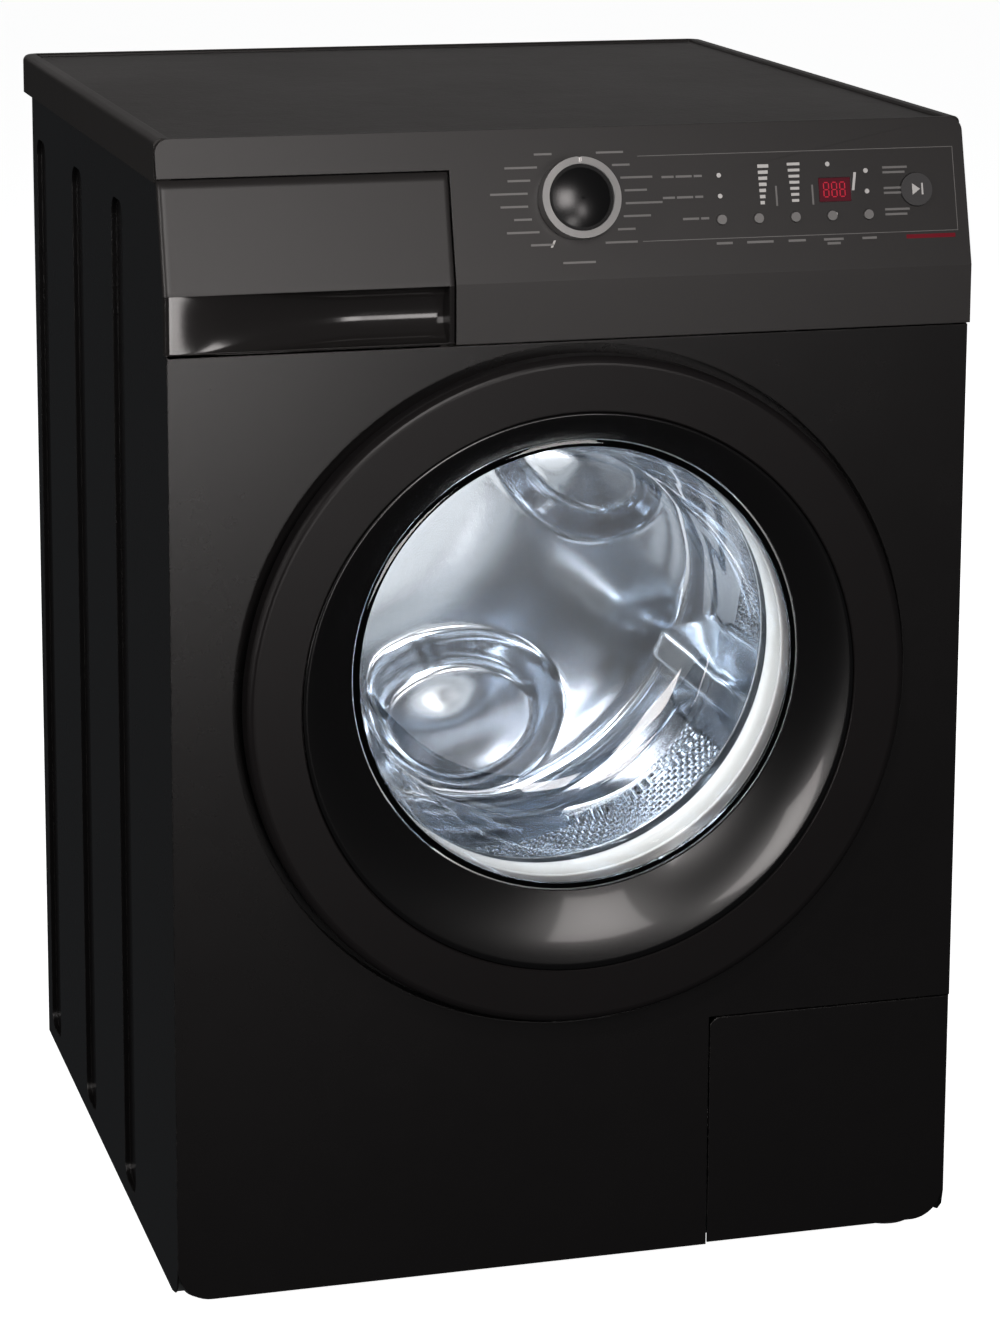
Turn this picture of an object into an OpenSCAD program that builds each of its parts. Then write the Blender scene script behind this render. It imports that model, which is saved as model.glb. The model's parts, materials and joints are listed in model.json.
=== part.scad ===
// Front-loading washing machine, modelled as the pieces it comes apart into.
// The model stands on z = 0, its front faces -Y, and X = 0 is its middle plane.
// Most modules are written in casing coordinates: y = 0 is the outer face of the front
// panel and y grows towards the back. in_casing() moves them into the part's own frame.

/* [Casing] */
// Width of the worktop, the widest piece
top_w = 596; // [590:1:610]
// Height of the worktop above the floor
overall_h = 850; // [845:1:860]
// Depth from the front panel to the back edge of the worktop
top_depth = 630; // [620:1:650]
// Width over the side panels
case_w = 592; // [588:1:594]
// Depth from the front panel to the back of the casing
case_depth = 586; // [580:1:600]
// Height of the casing's lower edge
case_bottom = 9; // [8:1:14]
// Thickness of the pressed steel sheet
sheet_t = 1.2; // [1.0:0.1:1.4]
// Thickness of the worktop's edge band
band_h = 31; // [30:1:32]
// Height of the seam between front panel and fascia
seam_z = 701; // [700:1:702]
// Height where the fascia starts to lean back
slope_z = 745; // [743:1:748]
// How far the top of the fascia leans back
slope_run = 28; // [26:1:30]

/* [Door] */
// Height of the door's centre
door_z = 447; // [445:1:449]
// Height of the drum's axis
drum_z = 464; // [462:1:466]
// Outer radius of the door ring
ring_r = 246; // [243:1:247]
// Outer radius of the funnel's front rim
rim_r = 206; // [203:1:207]
// Radius of the visible glass
sight_r = 168; // [165:1:169]
// How far the door stands in front of the front panel
door_proud = 20; // [19:1:21]
// Radius of the dish pressed in the front panel
dish_r = 252; // [251:1:253]
// Depth of that dish
dish_depth = 13; // [13:1:15]
// Radius of the porthole in the front panel
port_r = 178; // [176:1:180]

/* [Drum and tub] */
// Outer radius of the drum
drum_r = 232; // [228:1:234]
// Outer radius of the tub
tub_r = 258; // [256:1:259]
// Radius of the drum pulley
pulley_r = 140; // [130:1:145]
// Radius of the motor pulley
motor_pulley_r = 10; // [9:1:12]

/* [Controls] */
// Radius of the programme knob
knob_r = 29; // [27:1:31]
// Radius of the start button
start_r = 12; // [10:1:13]
// Number of option buttons
option_count = 5; // [5:1:5]
// Distance between option buttons
option_pitch = 28; // [26:1:30]
// Right edge of the detergent drawer
drawer_right = -91; // [-95:1:-88]

/* [Hidden] */
$fn = 96;

// Casing
front_y = -(top_depth - door_proud) / 2;
case_x = case_w / 2;
top_x = top_w / 2;
band_z = overall_h - band_h;
panel_t = 1.5;
fascia_t = 2.6;
slope_h = overall_h - slope_z;
tilt = atan2(slope_run, slope_h);
rim_w = 12;
board_z = overall_h - 2;
board_t = 16;
groove_w = 46;
groove_depth = 4;
groove_low = 22;
groove_high = 787;
groove_ys = [191, 367, 542];
corner_r = 25;
tiny = 0.01;
// Drawer
drawer_left = -top_x;
drawer_top = 822;
drawer_low = seam_z + 2;
housing_x0 = -289;
housing_x1 = -93;
housing_y0 = 22;
housing_y1 = 250;
housing_z0 = 728;
housing_z1 = 814;
tray_x0 = -284;
tray_x1 = -98;
tray_y0 = 24;
tray_y1 = 235;
tray_z0 = 733;
tray_z1 = 800;
scoop_r = 20;
scoop_z = 724;
// Controls, measured up the slope from where it starts
knob_x = 2;
knob_s = 57;
start_x = 259;
start_s = 56;
option_x0 = 109;
option_s = 39;
display_x = 196.5;
display_s = 58;
button_gap = 0.3;
lamp_xs = [109, 109, 221, 221];
lamp_ss = [71, 56, 71, 56];
lamp_r = 1.8;
// Door hinge: the pin stands inside the door ring
pin_x = -228;
pin_y = -10;
pin_r = 3;
fit = 0.05;
hinge_half = 22;
arm_t = 6;
funnel_back = -6;
// Flap
flap_x0 = 106;
flap_x1 = 294.4;
flap_z0 = 10.5;
flap_z1 = 187;
flap_pin_y = 6;
flap_pin_z = 19;
// Tub and drive, as depths behind the front panel
tub_wall = 3.2;
tub_y0 = 68;
tub_split = 200;
tub_y1 = 436;
hub_y1 = 474;
drum_y0 = 84;
drum_y1 = 410;
drum_wall = 1.2;
mouth_r = 180;
shaft_r = 15;
shaft_end_r = 12.5;
belt_y0 = 479.5;
belt_y1 = 488.5;
motor_x = 95;
motor_z = 112;
motor_r = 60;
spring_x = 256;
spring_y = 275;
damper_x = 200;
damper_y = 250;
pump_x = 170;
pump_z = 78;
foot_x = 262;
foot_y0 = 42;
foot_y1 = 545;
// Back: the rear panel lies just inside the side panels' flanges
rear_y = case_depth - 2 * sheet_t - 0.1;
cover_x = 205;
cover_z0 = 262;
cover_z1 = 668;
valve_x = -235;
valve_z = 765;
valve_r = 13.22;
gland_x = 236;
gland_z = 765;
drain_x = 225;
drain_z = 120;
// Worktop rim
rim_y0 = slope_run + fascia_t;
rim_corner = 14;
// Latch
hook_x = 221;
hook_y = -9;
// Drum lifters, as angles from +X towards +Z
lifter_angles = [95, 215, 335];
lifter_h = 44;
lifter_half = 46;
lifter_y0 = 110;
lifter_y1 = 386;
// Height of the knob above the fascia
knob_seat = 1.2;

// ---------- helpers ----------

// Casing coordinates to the part's frame
module in_casing() {
  translate([0, front_y, 0]) children();
}

// A flat outline drawn in x and z, from depth y0, t thick
module plate_xz(y0, t) {
  translate([0, y0 + t, 0]) rotate([90, 0, 0]) linear_extrude(t) children();
}

// A flat outline drawn in y and z, from x0, t thick
module plate_yz(x0, t) {
  translate([x0, 0, 0]) rotate([90, 0, 90]) linear_extrude(t) children();
}

// A profile of radius and depth turned about a front-to-back axis
module turned(x, z) {
  translate([x, 0, z]) rotate([-90, 0, 0]) rotate_extrude($fn = 160) children();
}

// A round bar along the front-to-back direction
module bar_y(x, z, y0, y1, r) {
  translate([x, y0, z]) rotate([-90, 0, 0]) cylinder(h = y1 - y0, r = r);
}

// A box given by its two corners
module block(a, b) {
  translate(a) cube([b[0] - a[0], b[1] - a[1], b[2] - a[2]]);
}

// Rectangle with four round corners
module round_rect(x0, y0, x1, y1, r) {
  translate([x0 + r, y0]) square([x1 - x0 - 2 * r, y1 - y0]);
  translate([x0, y0 + r]) square([x1 - x0, y1 - y0 - 2 * r]);
  for (x = [x0 + r, x1 - r], y = [y0 + r, y1 - r]) {
    translate([x, y]) circle(r = r, $fn = 48);
  }
}

// On the sloping face at x, s up the slope, with +Z pointing out of the face
module on_slope(x, s) {
  translate([x, 0, slope_z]) rotate([90 - tilt, 0, 0]) translate([0, s, 0]) children();
}

// Depth of the sloping face at height z
function slope_at(z) = z < slope_z ? 0 : (z - slope_z) * slope_run / slope_h;

function unit(v) = v / norm(v);

// Round tube along a list of points, as rings of sides joined by faces.
// ref is any direction that the path never follows: it sets how the rings are turned.
module swept_tube(path, r_out, sides, ref) {
  n = len(path);
  dirs = [for (i = [0:n - 1]) unit(path[min(i + 1, n - 1)] - path[max(i - 1, 0)])];
  rings = [for (i = [0:n - 1])
    let (side = unit(cross(dirs[i], ref)), up = cross(side, dirs[i]))
    for (k = [0:sides - 1])
      path[i] + r_out * (cos(360 * k / sides) * side + sin(360 * k / sides) * up)];
  walls = [for (i = [0:n - 2], k = [0:sides - 1])
    [i * sides + k, i * sides + (k + 1) % sides, (i + 1) * sides + (k + 1) % sides, (i + 1) * sides + k]];
  cap0 = [for (k = [0:sides - 1]) sides - 1 - k];
  cap1 = [for (k = [0:sides - 1]) (n - 1) * sides + k];
  polyhedron(points = rings, faces = concat([cap0], walls, [cap1]), convexity = 8);
}

// Points on a smooth curve through a few hand-set ones
function curve_point(p0, p1, p2, p3, t) =
  0.5 * ((2 * p1) + (p2 - p0) * t + (2 * p0 - 5 * p1 + 4 * p2 - p3) * t * t
  + (3 * p1 - p0 - 3 * p2 + p3) * t * t * t);
function smooth(p, steps) = concat([for (i = [0:len(p) - 2], k = [0:steps - 1])
  curve_point(p[max(i - 1, 0)], p[i], p[i + 1], p[min(i + 2, len(p) - 1)], k / steps)],
  [p[len(p) - 1]]);

// ---------- casing ----------

module side_outline() {
  gap = 0.5;
  back = fascia_t + 1.6;
  toe = 22;
  polygon([
    [panel_t + 0.1, case_bottom + toe], [panel_t + 3, case_bottom + 10],
    [panel_t + 10, case_bottom + 3], [panel_t + toe, case_bottom],
    [case_depth, case_bottom], [case_depth, band_z],
    [slope_at(band_z) + back, band_z], [back, slope_z], [back, seam_z + gap],
    [panel_t + 0.1, seam_z + gap]
  ]);
}

module groove_outline(grow) {
  for (y = groove_ys) {
    round_rect(y - groove_w / 2 - grow, groove_low - grow, y + groove_w / 2 + grow,
      groove_high + grow, 14 + grow);
  }
}

module side_panel() {
  inner = case_x - sheet_t;
  difference() {
    union() {
      plate_yz(inner, sheet_t) side_outline();
      plate_yz(inner - groove_depth, groove_depth + tiny) groove_outline(sheet_t);
    }
    plate_yz(case_x - groove_depth, groove_depth + 1) groove_outline(0);
  }
  block([case_x - 20, case_depth - sheet_t, case_bottom], [inner + tiny, case_depth, band_z]);
}

module right_side_panel() {
  color("#1d1b1b") in_casing() side_panel();
}

module left_side_panel() {
  color("#1d1b1b") in_casing() mirror([1, 0, 0]) side_panel();
}

module rear_panel() {
  color("#8d9092") in_casing() {
    difference() {
      plate_xz(rear_y, sheet_t) round_rect(-293, case_bottom + 3, 293, 789, 6);
      plate_xz(rear_y - 1, 4) round_rect(-cover_x, cover_z0, cover_x, cover_z1, 30);
      bar_y(valve_x, valve_z, rear_y - 1, rear_y + 4, valve_r + 2.5);
      bar_y(gland_x, gland_z, rear_y - 1, rear_y + 4, 9.1);
      bar_y(drain_x, drain_z, rear_y - 1, rear_y + 4, 15.1);
    }
    for (x = [-250, 250]) {
      difference() {
        block([x - 9, rear_y - 5, 180], [x + 9, rear_y + tiny, 700]);
        block([x - 9 + sheet_t, rear_y - 5 + sheet_t, 179], [x + 9 - sheet_t, rear_y + 1, 701]);
      }
    }
  }
}

module service_cover() {
  lap = 12;
  y0 = rear_y + sheet_t;
  color("#96999b") in_casing() difference() {
    union() {
      plate_xz(y0, sheet_t) round_rect(-cover_x - lap, cover_z0 - lap, cover_x + lap,
        cover_z1 + lap, 34);
      for (r = [70, 130]) {
        turned(0, drum_z) translate([r, y0 + sheet_t - tiny]) square([8, 2.5]);
      }
    }
    for (x = [-cover_x - 5, cover_x + 5], z = [cover_z0 + 40, drum_z, cover_z1 - 40]) {
      bar_y(x, z, y0 - 1, y0 + 3, 2.2);
    }
  }
}

module front_panel() {
  color("#232122") in_casing() {
    difference() {
      union() {
        plate_xz(0, panel_t) difference() {
          round_rect(-case_x, case_bottom, case_x, seam_z, corner_r);
          translate([0, door_z]) circle(r = dish_r + tiny, $fn = 160);
          translate([flap_x0 - 1, 0]) square([300, flap_z1 + 1]);
        }
        plate_xz(0, panel_t) {
          translate([-case_x, seam_z - 30]) square([40, 30]);
          translate([case_x - 40, seam_z - 30]) square([40, 30]);
        }
        turned(0, door_z) translate([dish_r, 0]) square([panel_t, dish_depth + panel_t]);
        plate_xz(dish_depth, panel_t) translate([0, door_z]) circle(r = dish_r + tiny, $fn = 160);
        turned(0, drum_z) translate([port_r, dish_depth]) square([panel_t, 12]);
      }
      bar_y(0, drum_z, dish_depth - 1, dish_depth + 20, port_r);
      block([203, dish_depth - 1, door_z - 12], [241, dish_depth + 3, door_z + 12]);
    }
  }
}

module base_tray() {
  low = case_bottom;
  floor_t = 2.5;
  wall_h = 42;
  half = 294.2;
  y0 = 20;
  y1 = rear_y - 0.4;
  color("#3a3c3e") in_casing() difference() {
    union() {
      block([-half, y0, low], [half, y1, low + floor_t]);
      difference() {
        block([-half, y0, low], [half, y1, low + wall_h]);
        block([-half + 3, y0 + 3, low - 1], [half - 3, y1 - 3, low + wall_h + 1]);
        for (s = [-1, 1], y = groove_ys) {
          block([s * half - 5, y - groove_w / 2 - 3, low + 8],
            [s * half + 5, y + groove_w / 2 + 3, low + wall_h + 1]);
        }
      }
      for (x = [-foot_x, foot_x], y = [foot_y0, foot_y1]) {
        translate([x, y, low]) cylinder(h = 32, r = 14);
      }
      for (x = [-damper_x, damper_x]) {
        translate([x, damper_y, low]) cylinder(h = 8, r = 24);
      }
      for (x = [flap_x0 + 12, flap_x1 - 20]) {
        translate([x, flap_pin_y, flap_pin_z]) rotate([0, 90, 0]) cylinder(h = 5, r = 4.2);
        block([x, flap_pin_y, flap_pin_z - 2], [x + 5, y0 + 1, flap_pin_z + 3]);
      }
      block([pump_x - 28, 40, low], [pump_x + 28, 150, low + 12]);
    }
    for (x = [-foot_x, foot_x], y = [foot_y0, foot_y1]) {
      translate([x, y, low - 1]) cylinder(h = 45, r = 5 + fit);
    }
    translate([flap_x0, flap_pin_y, flap_pin_z]) rotate([0, 90, 0])
      cylinder(h = 200, r = 2.5 + fit);
    block([pump_x - 42, y0 - 1, low + 24], [pump_x + 42, y0 + 4, low + wall_h + 1]);
  }
}

module top_frame() {
  z0 = 790;
  z1 = band_z - 0.2;
  t = 2;
  x1 = 293;
  w = 28;
  y0 = 42;
  y1 = rear_y + sheet_t;
  color("#8d9092") in_casing() {
    block([-88, y0, z0], [x1, y0 + t, z1]);
    block([-88, y0, z1 - t], [x1, y0 + w, z1]);
    block([-x1, y1 - t, z0], [x1, y1, z1]);
    block([-x1, y1 - w, z1 - t], [x1, y1, z1]);
    block([x1 - w, y0, z1 - t], [x1, y1, z1]);
    block([x1 - w, y0, z0], [x1 - w + t, y1, z1]);
    block([-x1, housing_y1 + 4, z1 - t], [-x1 + w, y1, z1]);
    block([-x1 + w - t, housing_y1 + 4, z0], [-x1 + w, y1, z1]);
    for (s = [-1, 1]) {
      block([min(s * 242, s * 266), spring_y - 14, z0], [max(s * 242, s * 266), spring_y + 14, z0 + t]);
    }
  }
}

// Points of a quarter circle, from angle a0
function quarter(c, r, a0, n) = [for (i = [0:n]) c + r * [cos(a0 + 90 * i / n), sin(a0 + 90 * i / n)]];

// Section of the worktop's rim: outer edge at x = 0, inner edge at x = rim_w
module rim_section() {
  outer_r = 5;
  inner_r = 2;
  polygon(concat([[rim_w, 0]],
    quarter([rim_w - inner_r, band_h - inner_r], inner_r, 0, 3),
    quarter([outer_r, band_h - outer_r], outer_r, 90, 6), [[0, 0]]));
}

module worktop_frame() {
  len_y = top_depth - rim_y0 - rim_corner;
  color("#2b2828") in_casing() {
    for (s = [0, 1]) mirror([s, 0, 0]) {
      translate([-top_x, rim_y0 + len_y, band_z]) rotate([90, 0, 0])
        linear_extrude(len_y) rim_section();
      translate([-top_x + rim_corner, top_depth - rim_corner, band_z]) rotate([0, 0, 90])
        rotate_extrude(angle = 90, $fn = 64)
          translate([rim_corner, 0]) mirror([1, 0]) rim_section();
    }
    translate([-top_x + rim_corner, top_depth, band_z]) rotate([90, 0, 90])
      linear_extrude(top_w - 2 * rim_corner) mirror([1, 0]) rim_section();
  }
}

module worktop_board() {
  gap = 0.8;
  x = top_x - rim_w - gap;
  color("#332f2e") in_casing()
    block([-x, rim_y0, board_z - board_t], [x, top_depth - rim_w - gap, board_z]);
}

// Outer skin of fascia and drawer front as a thin bent section in y and z
module skin_section(z0, z1) {
  t = fascia_t;
  y0 = slope_at(z0);
  y1 = slope_at(z1);
  polygon(z0 < slope_z ?
    [[0, z0], [0, slope_z], [y1, z1], [y1 + t, z1], [t, slope_z], [t, z0]] :
    [[y0, z0], [y1, z1], [y1 + t, z1], [y0 + t, z0]]);
}

module fascia() {
  edge_r = 10;
  color("#2f2d2e") in_casing() difference() {
    union() {
      intersection() {
        union() {
          plate_yz(drawer_right + 1.2, top_x - drawer_right - 1.2) skin_section(seam_z + 1, overall_h);
          plate_yz(-top_x, top_x + drawer_right + 2) skin_section(drawer_top + 1, overall_h);
        }
        plate_xz(-5, 60) round_rect(-top_x, seam_z - 30, top_x, overall_h, edge_r);
      }
      block([drawer_right + 1.2, fascia_t - tiny, seam_z + 1], [drawer_right + 3.2, 20, slope_z]);
      block([-top_x + 8, slope_run, drawer_top + 1], [drawer_right, slope_run + 2, drawer_top + 3.5]);
      on_slope(knob_x, knob_s) translate([0, 0, -6]) cylinder(h = 5, r = 12);
    }
    on_slope(knob_x, knob_s) translate([0, 0, -20]) cylinder(h = 40, r = 4.5);
    on_slope(start_x, start_s) translate([0, 0, -20]) cylinder(h = 40, r = start_r + button_gap);
    for (i = [0:option_count - 1]) {
      on_slope(option_x0 + i * option_pitch, option_s) translate([0, 0, -20])
        cylinder(h = 40, r = 3.5 + button_gap);
    }
    for (i = [0:len(lamp_xs) - 1]) {
      on_slope(lamp_xs[i], lamp_ss[i]) translate([0, 0, -20]) cylinder(h = 40, r = lamp_r, $fn = 32);
    }
    on_slope(display_x, display_s) translate([-12.2, -8.7, -20]) cube([24.4, 17.4, 40]);
  }
}

module display_window() {
  color("#300c12") in_casing() on_slope(display_x, display_s) {
    translate([-12, -8.5, -2.4]) cube([24, 17, 2.2]);
  }
}

module control_board() {
  color("#1f5a3a") in_casing() {
    on_slope(0, 0) {
      translate([-40, 22, -17.6]) cube([322, 50, 1.6]);
      for (i = [0:option_count - 1]) {
        translate([option_x0 + i * option_pitch, option_s, -16.01]) cylinder(h = 5, r = 3);
      }
      translate([start_x, start_s, -16.01]) cylinder(h = 5, r = 3);
      translate([knob_x - 9, knob_s - 9, -16.01]) cube([18, 18, 6]);
      translate([knob_x, knob_s, -10.02]) cylinder(h = 18, r = 3);
      translate([display_x - 12, display_s - 8, -16.01]) cube([24, 16, 10]);
      translate([40, 25, -26]) cube([40, 20, 8.5]);
    }
  }
}

module drawer_housing() {
  t = 2.5;
  color("#d9dadb") in_casing() difference() {
    union() {
      block([housing_x0, housing_y0, housing_z0], [housing_x1, housing_y1, housing_z1]);
      translate([-150, 150, housing_z0 - 12]) cylinder(h = 13, r = 14);
      bar_y(-225, 795, housing_y1 - 1, housing_y1 + 22, 6);
    }
    block([housing_x0 + t, housing_y0 - 1, housing_z0 + t],
      [housing_x1 - t, housing_y1 - t, 804]);
    block([housing_x0 + 8, housing_y0 + 10, 806], [housing_x1 - 8, housing_y1 - 8, 812]);
    translate([-150, 150, housing_z0 - 13]) cylinder(h = 20, r = 11.5);
    bar_y(-225, 795, housing_y1 - 10, housing_y1 + 23, 4);
    for (x = [-250, -210, -170, -130], y = [60:30:210]) {
      translate([x, y, 800]) cylinder(h = 8, r = 1.5, $fn = 16);
    }
  }
}

module inlet_valve() {
  y0 = rear_y;
  color("#e8e8e4") in_casing() {
    difference() {
      union() {
        bar_y(valve_x, valve_z, y0 - 12, y0 + sheet_t + 18, valve_r);
        bar_y(valve_x, valve_z, y0 - 14, y0 - 0.1, 20);
        block([valve_x - 14, y0 - 52, valve_z - 12], [valve_x + 14, y0 - 13, valve_z + 12]);
        bar_y(valve_x, valve_z, y0 - 80, y0 - 51, 6);
      }
      bar_y(valve_x, valve_z, y0 - 6, y0 + 30, 9);
      bar_y(valve_x, valve_z, y0 - 81, y0 - 60, 4);
    }
    translate([valve_x, y0 - 32, valve_z - 38]) cylinder(h = 26.5, r = 13);
  }
}

module rear_glands() {
  color("#1a1a1a") in_casing() {
    difference() {
      union() {
        bar_y(gland_x, gland_z, rear_y - 6, rear_y + 16, 9);
        bar_y(gland_x, gland_z, rear_y + sheet_t, rear_y + sheet_t + 3, 13);
      }
      bar_y(gland_x, gland_z, rear_y - 7, rear_y + 17, 4.2);
    }
    difference() {
      union() {
        bar_y(drain_x, drain_z, rear_y - 6, rear_y + 6, 15);
        bar_y(drain_x, drain_z, rear_y + sheet_t, rear_y + sheet_t + 3, 20);
      }
      bar_y(drain_x, drain_z, rear_y - 7, rear_y + 7, 11.5);
    }
  }
}

module door_lock() {
  y0 = dish_depth + panel_t;
  color("#dfe0dc") in_casing() difference() {
    block([200, y0, door_z - 34], [246, y0 + 34, door_z + 34]);
    block([203, y0 - 1, door_z - 12], [241, y0 + 31, door_z + 12]);
  }
}

// Bellows between the porthole and the tub's mouth
module door_gasket() {
  color("#b9b9b6") in_casing() turned(0, drum_z) polygon([
    [166, 19], [165.4, 21], [166, 23], [171, 27], [175, 31], [184, 36], [190, 44],
    [184, 51], [172, 54], [169, 60], [172, 66], [mouth_r - 0.2, 67.5],
    [mouth_r - 0.2, 64], [175, 62], [173, 60], [175, 57], [187, 55], [194, 44],
    [188, 34], [187, 31], [187, 17], [mouth_r, 17], [mouth_r, 26.4], [176, 25.6],
    [170, 21]
  ]);
}

module hinge_bracket() {
  z = door_z;
  far = hinge_half + 1 + arm_t;
  color("#b9bcbe") in_casing() {
    block([-216, dish_depth - 2.5, z - 36], [-196, dish_depth - 0.1, z + 36]);
    for (s = [0, 1]) translate([0, 0, z]) mirror([0, 0, s]) {
      block([-208, pin_y - 5, hinge_half + 1], [-201, dish_depth - 1, far]);
      block([pin_x, pin_y - 5, hinge_half + 1], [-202, pin_y + 5, far]);
      translate([pin_x, pin_y, hinge_half + 1]) cylinder(h = arm_t, r = 5);
    }
    translate([pin_x, pin_y, z - far + 1]) cylinder(h = 2 * far - 2, r = pin_r);
  }
}

module pump_body() {
  color("#c9cac6") in_casing() difference() {
    union() {
      bar_y(pump_x, pump_z, 24, 97, 34);
      bar_y(pump_x, pump_z, 96, 122, 42);
      bar_y(pump_x, pump_z, 121, 176, 27);
      block([pump_x - 22, 50, case_bottom + 12], [pump_x + 22, 116, pump_z - 20]);
      translate([pump_x - 48, 70, pump_z]) rotate([0, 90, 0]) cylinder(h = 25, r = 13);
      translate([pump_x + 24, 109, pump_z]) cylinder(h = 58, r = 9);
    }
    bar_y(pump_x, pump_z, 23, 90, 29);
    bar_y(pump_x, pump_z, 89, 97, 20);
    bar_y(pump_x, pump_z, 96.5, 118, 34);
    bar_y(pump_x, pump_z, 117, 130, 3 + fit);
    translate([pump_x - 49, 70, pump_z]) rotate([0, 90, 0]) cylinder(h = 30, r = 10);
    translate([pump_x + 24, 109, pump_z]) cylinder(h = 59, r = 7);
  }
}

module damper_tubes() {
  color("#44474a") in_casing() for (x = [-damper_x, damper_x]) difference() {
    union() {
      translate([x, damper_y, case_bottom + 8]) cylinder(h = 150, r = 15);
      translate([x, damper_y, case_bottom + 8]) cylinder(h = 12, r = 20);
    }
    translate([x, damper_y, case_bottom + 24]) cylinder(h = 150, r = 9);
  }
}

module suspension_springs() {
  turns = 16;
  steps = 10;
  coil_r = 11;
  z0 = 650;
  z1 = 788;
  color("#c4c6c8") in_casing() for (x = [-spring_x, spring_x]) {
    coil = [for (i = [0:turns * steps])
      [x + coil_r * cos(360 * i / steps), spring_y + coil_r * sin(360 * i / steps),
        z0 + (z1 - z0) * i / (turns * steps)]];
    swept_tube(coil, 1.7, 6, [0, 0, 1]);
  }
}

module fill_bellows() {
  z0 = 690;
  z1 = housing_z0;
  n = 6;
  p = (z1 - z0 - 8) / n;
  translate([-150, 150, 0]) rotate_extrude($fn = 64) polygon(concat(
    [[14.3, z0], [17, z0], [17, z0 + 4]],
    [for (i = [0:n - 1], k = [0:1]) [k == 0 ? 20 : 17, z0 + 4 + p * (i + 0.5 + k * 0.5)]],
    [[17, z1], [14.3, z1]]));
}

module inner_hoses() {
  sump_route = [[-10, 225, 167.8], [-10, 225, 158], [-10, 225, 148], [4, 206, 112],
    [30, 150, 86], [60, 94, 78], [88, 70, 78], [105, 70, 78], [121.8, 70, 78]];
  drain_route = [[194, 109, 136.2], [194, 109, 146], [194, 109, 156], [220, 140, 178],
    [262, 210, 150], [268, 330, 122], [256, 450, 120], [232, 510, 120], [225, 545, 120],
    [225, 560, 120], [225, 577, 120]];
  valve_route = [[-235, 503.3, 765], [-235, 492, 765], [-235, 480, 765], [-236, 430, 778],
    [-228, 350, 794], [-225, 300, 795], [-225, 286, 795], [-225, 272.2, 795]];
  color("#26272a") in_casing() {
    fill_bellows();
    swept_tube(smooth(sump_route, 3), 15, 12, [1, 1, 0]);
    swept_tube(smooth(drain_route, 3), 11, 12, [1, -0.3, 0.4]);
    swept_tube(smooth(valve_route, 3), 7, 10, [0, 0, 1]);
  }
}

module rear_feet() {
  color("#151515") in_casing() for (x = [-foot_x, foot_x]) {
    translate([x, foot_y1, 0]) cylinder(h = case_bottom, r = 20);
    translate([x, foot_y1, case_bottom - 1]) cylinder(h = 30, r = 5);
  }
}

// ---------- detergent drawer ----------

module drawer_front() {
  x0 = drawer_left;
  w = drawer_right - drawer_left;
  color("#2f2d2e") in_casing() difference() {
    union() {
      plate_yz(x0, w) skin_section(drawer_low, drawer_top);
      intersection() {
        translate([x0 + 6, -2, scoop_z]) rotate([0, 90, 0]) cylinder(h = w - 8, r = scoop_r + 2.4);
        block([x0 + 6, 0, drawer_low], [x0 + w, 40, slope_z + 5]);
      }
      for (x = [tray_x0 + 4, tray_x1 - 7]) {
        plate_yz(x, 3) polygon([[1, 738], [tray_y0, 738], [tray_y0, 796], [slope_at(796) + 1, 796],
          [1, slope_z]]);
      }
    }
    translate([x0 + 10, -2, scoop_z]) rotate([0, 90, 0]) cylinder(h = w - 16, r = scoop_r);
  }
}

module drawer_tray() {
  t = 2;
  color("#d4d6d7") in_casing() difference() {
    block([tray_x0, tray_y0, tray_z0], [tray_x1, tray_y1, tray_z1]);
    block([tray_x0 + t, tray_y0 + t, tray_z0 + 3], [-224, tray_y1 - t, tray_z1 + 1]);
    block([-222, tray_y0 + t, tray_z0 + 3], [-162, tray_y1 - t, tray_z1 + 1]);
    block([-160, tray_y0 + t, tray_z0 + 3], [tray_x1 - t, tray_y1 - t, tray_z1 + 1]);
    for (x = [-253, -130]) {
      block([x - 14, tray_y1 - 3, tray_z0 + 3], [x + 14, tray_y1 + 1, tray_z0 + 16]);
    }
  }
}

module siphon_cap() {
  z0 = tray_z0 + 3;
  color("#3567a8") in_casing() difference() {
    union() {
      block([-218, 150, z0 + 40], [-166, 226, z0 + 44]);
      translate([-192, 190, z0]) cylinder(h = 41, r = 9);
    }
    translate([-192, 190, z0 - 1]) cylinder(h = 36, r = 7);
  }
}

// ---------- door ----------

module door_ring() {
  y0 = -door_proud;
  r = ring_r;
  edge = 6;
  wall = 3;
  centre = [r - edge, y0 + edge];
  color("#242223") in_casing() turned(0, door_z) polygon(concat(
    [[rim_r + 0.4, y0 + wall], [rim_r + 0.4, y0 + 1], [rim_r + 1.4, y0]],
    [for (i = [0:6]) centre + edge * [sin(15 * i), -cos(15 * i)]],
    [[r, -2], [r - wall, -2]],
    [for (i = [0:4]) centre + (edge - wall) * [cos(22.5 * i), -sin(22.5 * i)]]));
}

// Cone between the round front rim and the higher, smaller sight glass
module funnel_body(r_front, r_back, y0, y1) {
  hull() {
    bar_y(0, door_z, y0, y0 + 0.4, r_front);
    bar_y(0, drum_z, y1 - 0.4, y1, r_back);
  }
}

module door_funnel() {
  y0 = -door_proud;
  color("#0e0e0f") in_casing() difference() {
    funnel_body(rim_r, sight_r + 2.2, y0, funnel_back, $fn = 120);
    funnel_body(rim_r - 2.6, sight_r, y0 - 0.5, funnel_back + 0.5, $fn = 120);
  }
}

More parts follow.
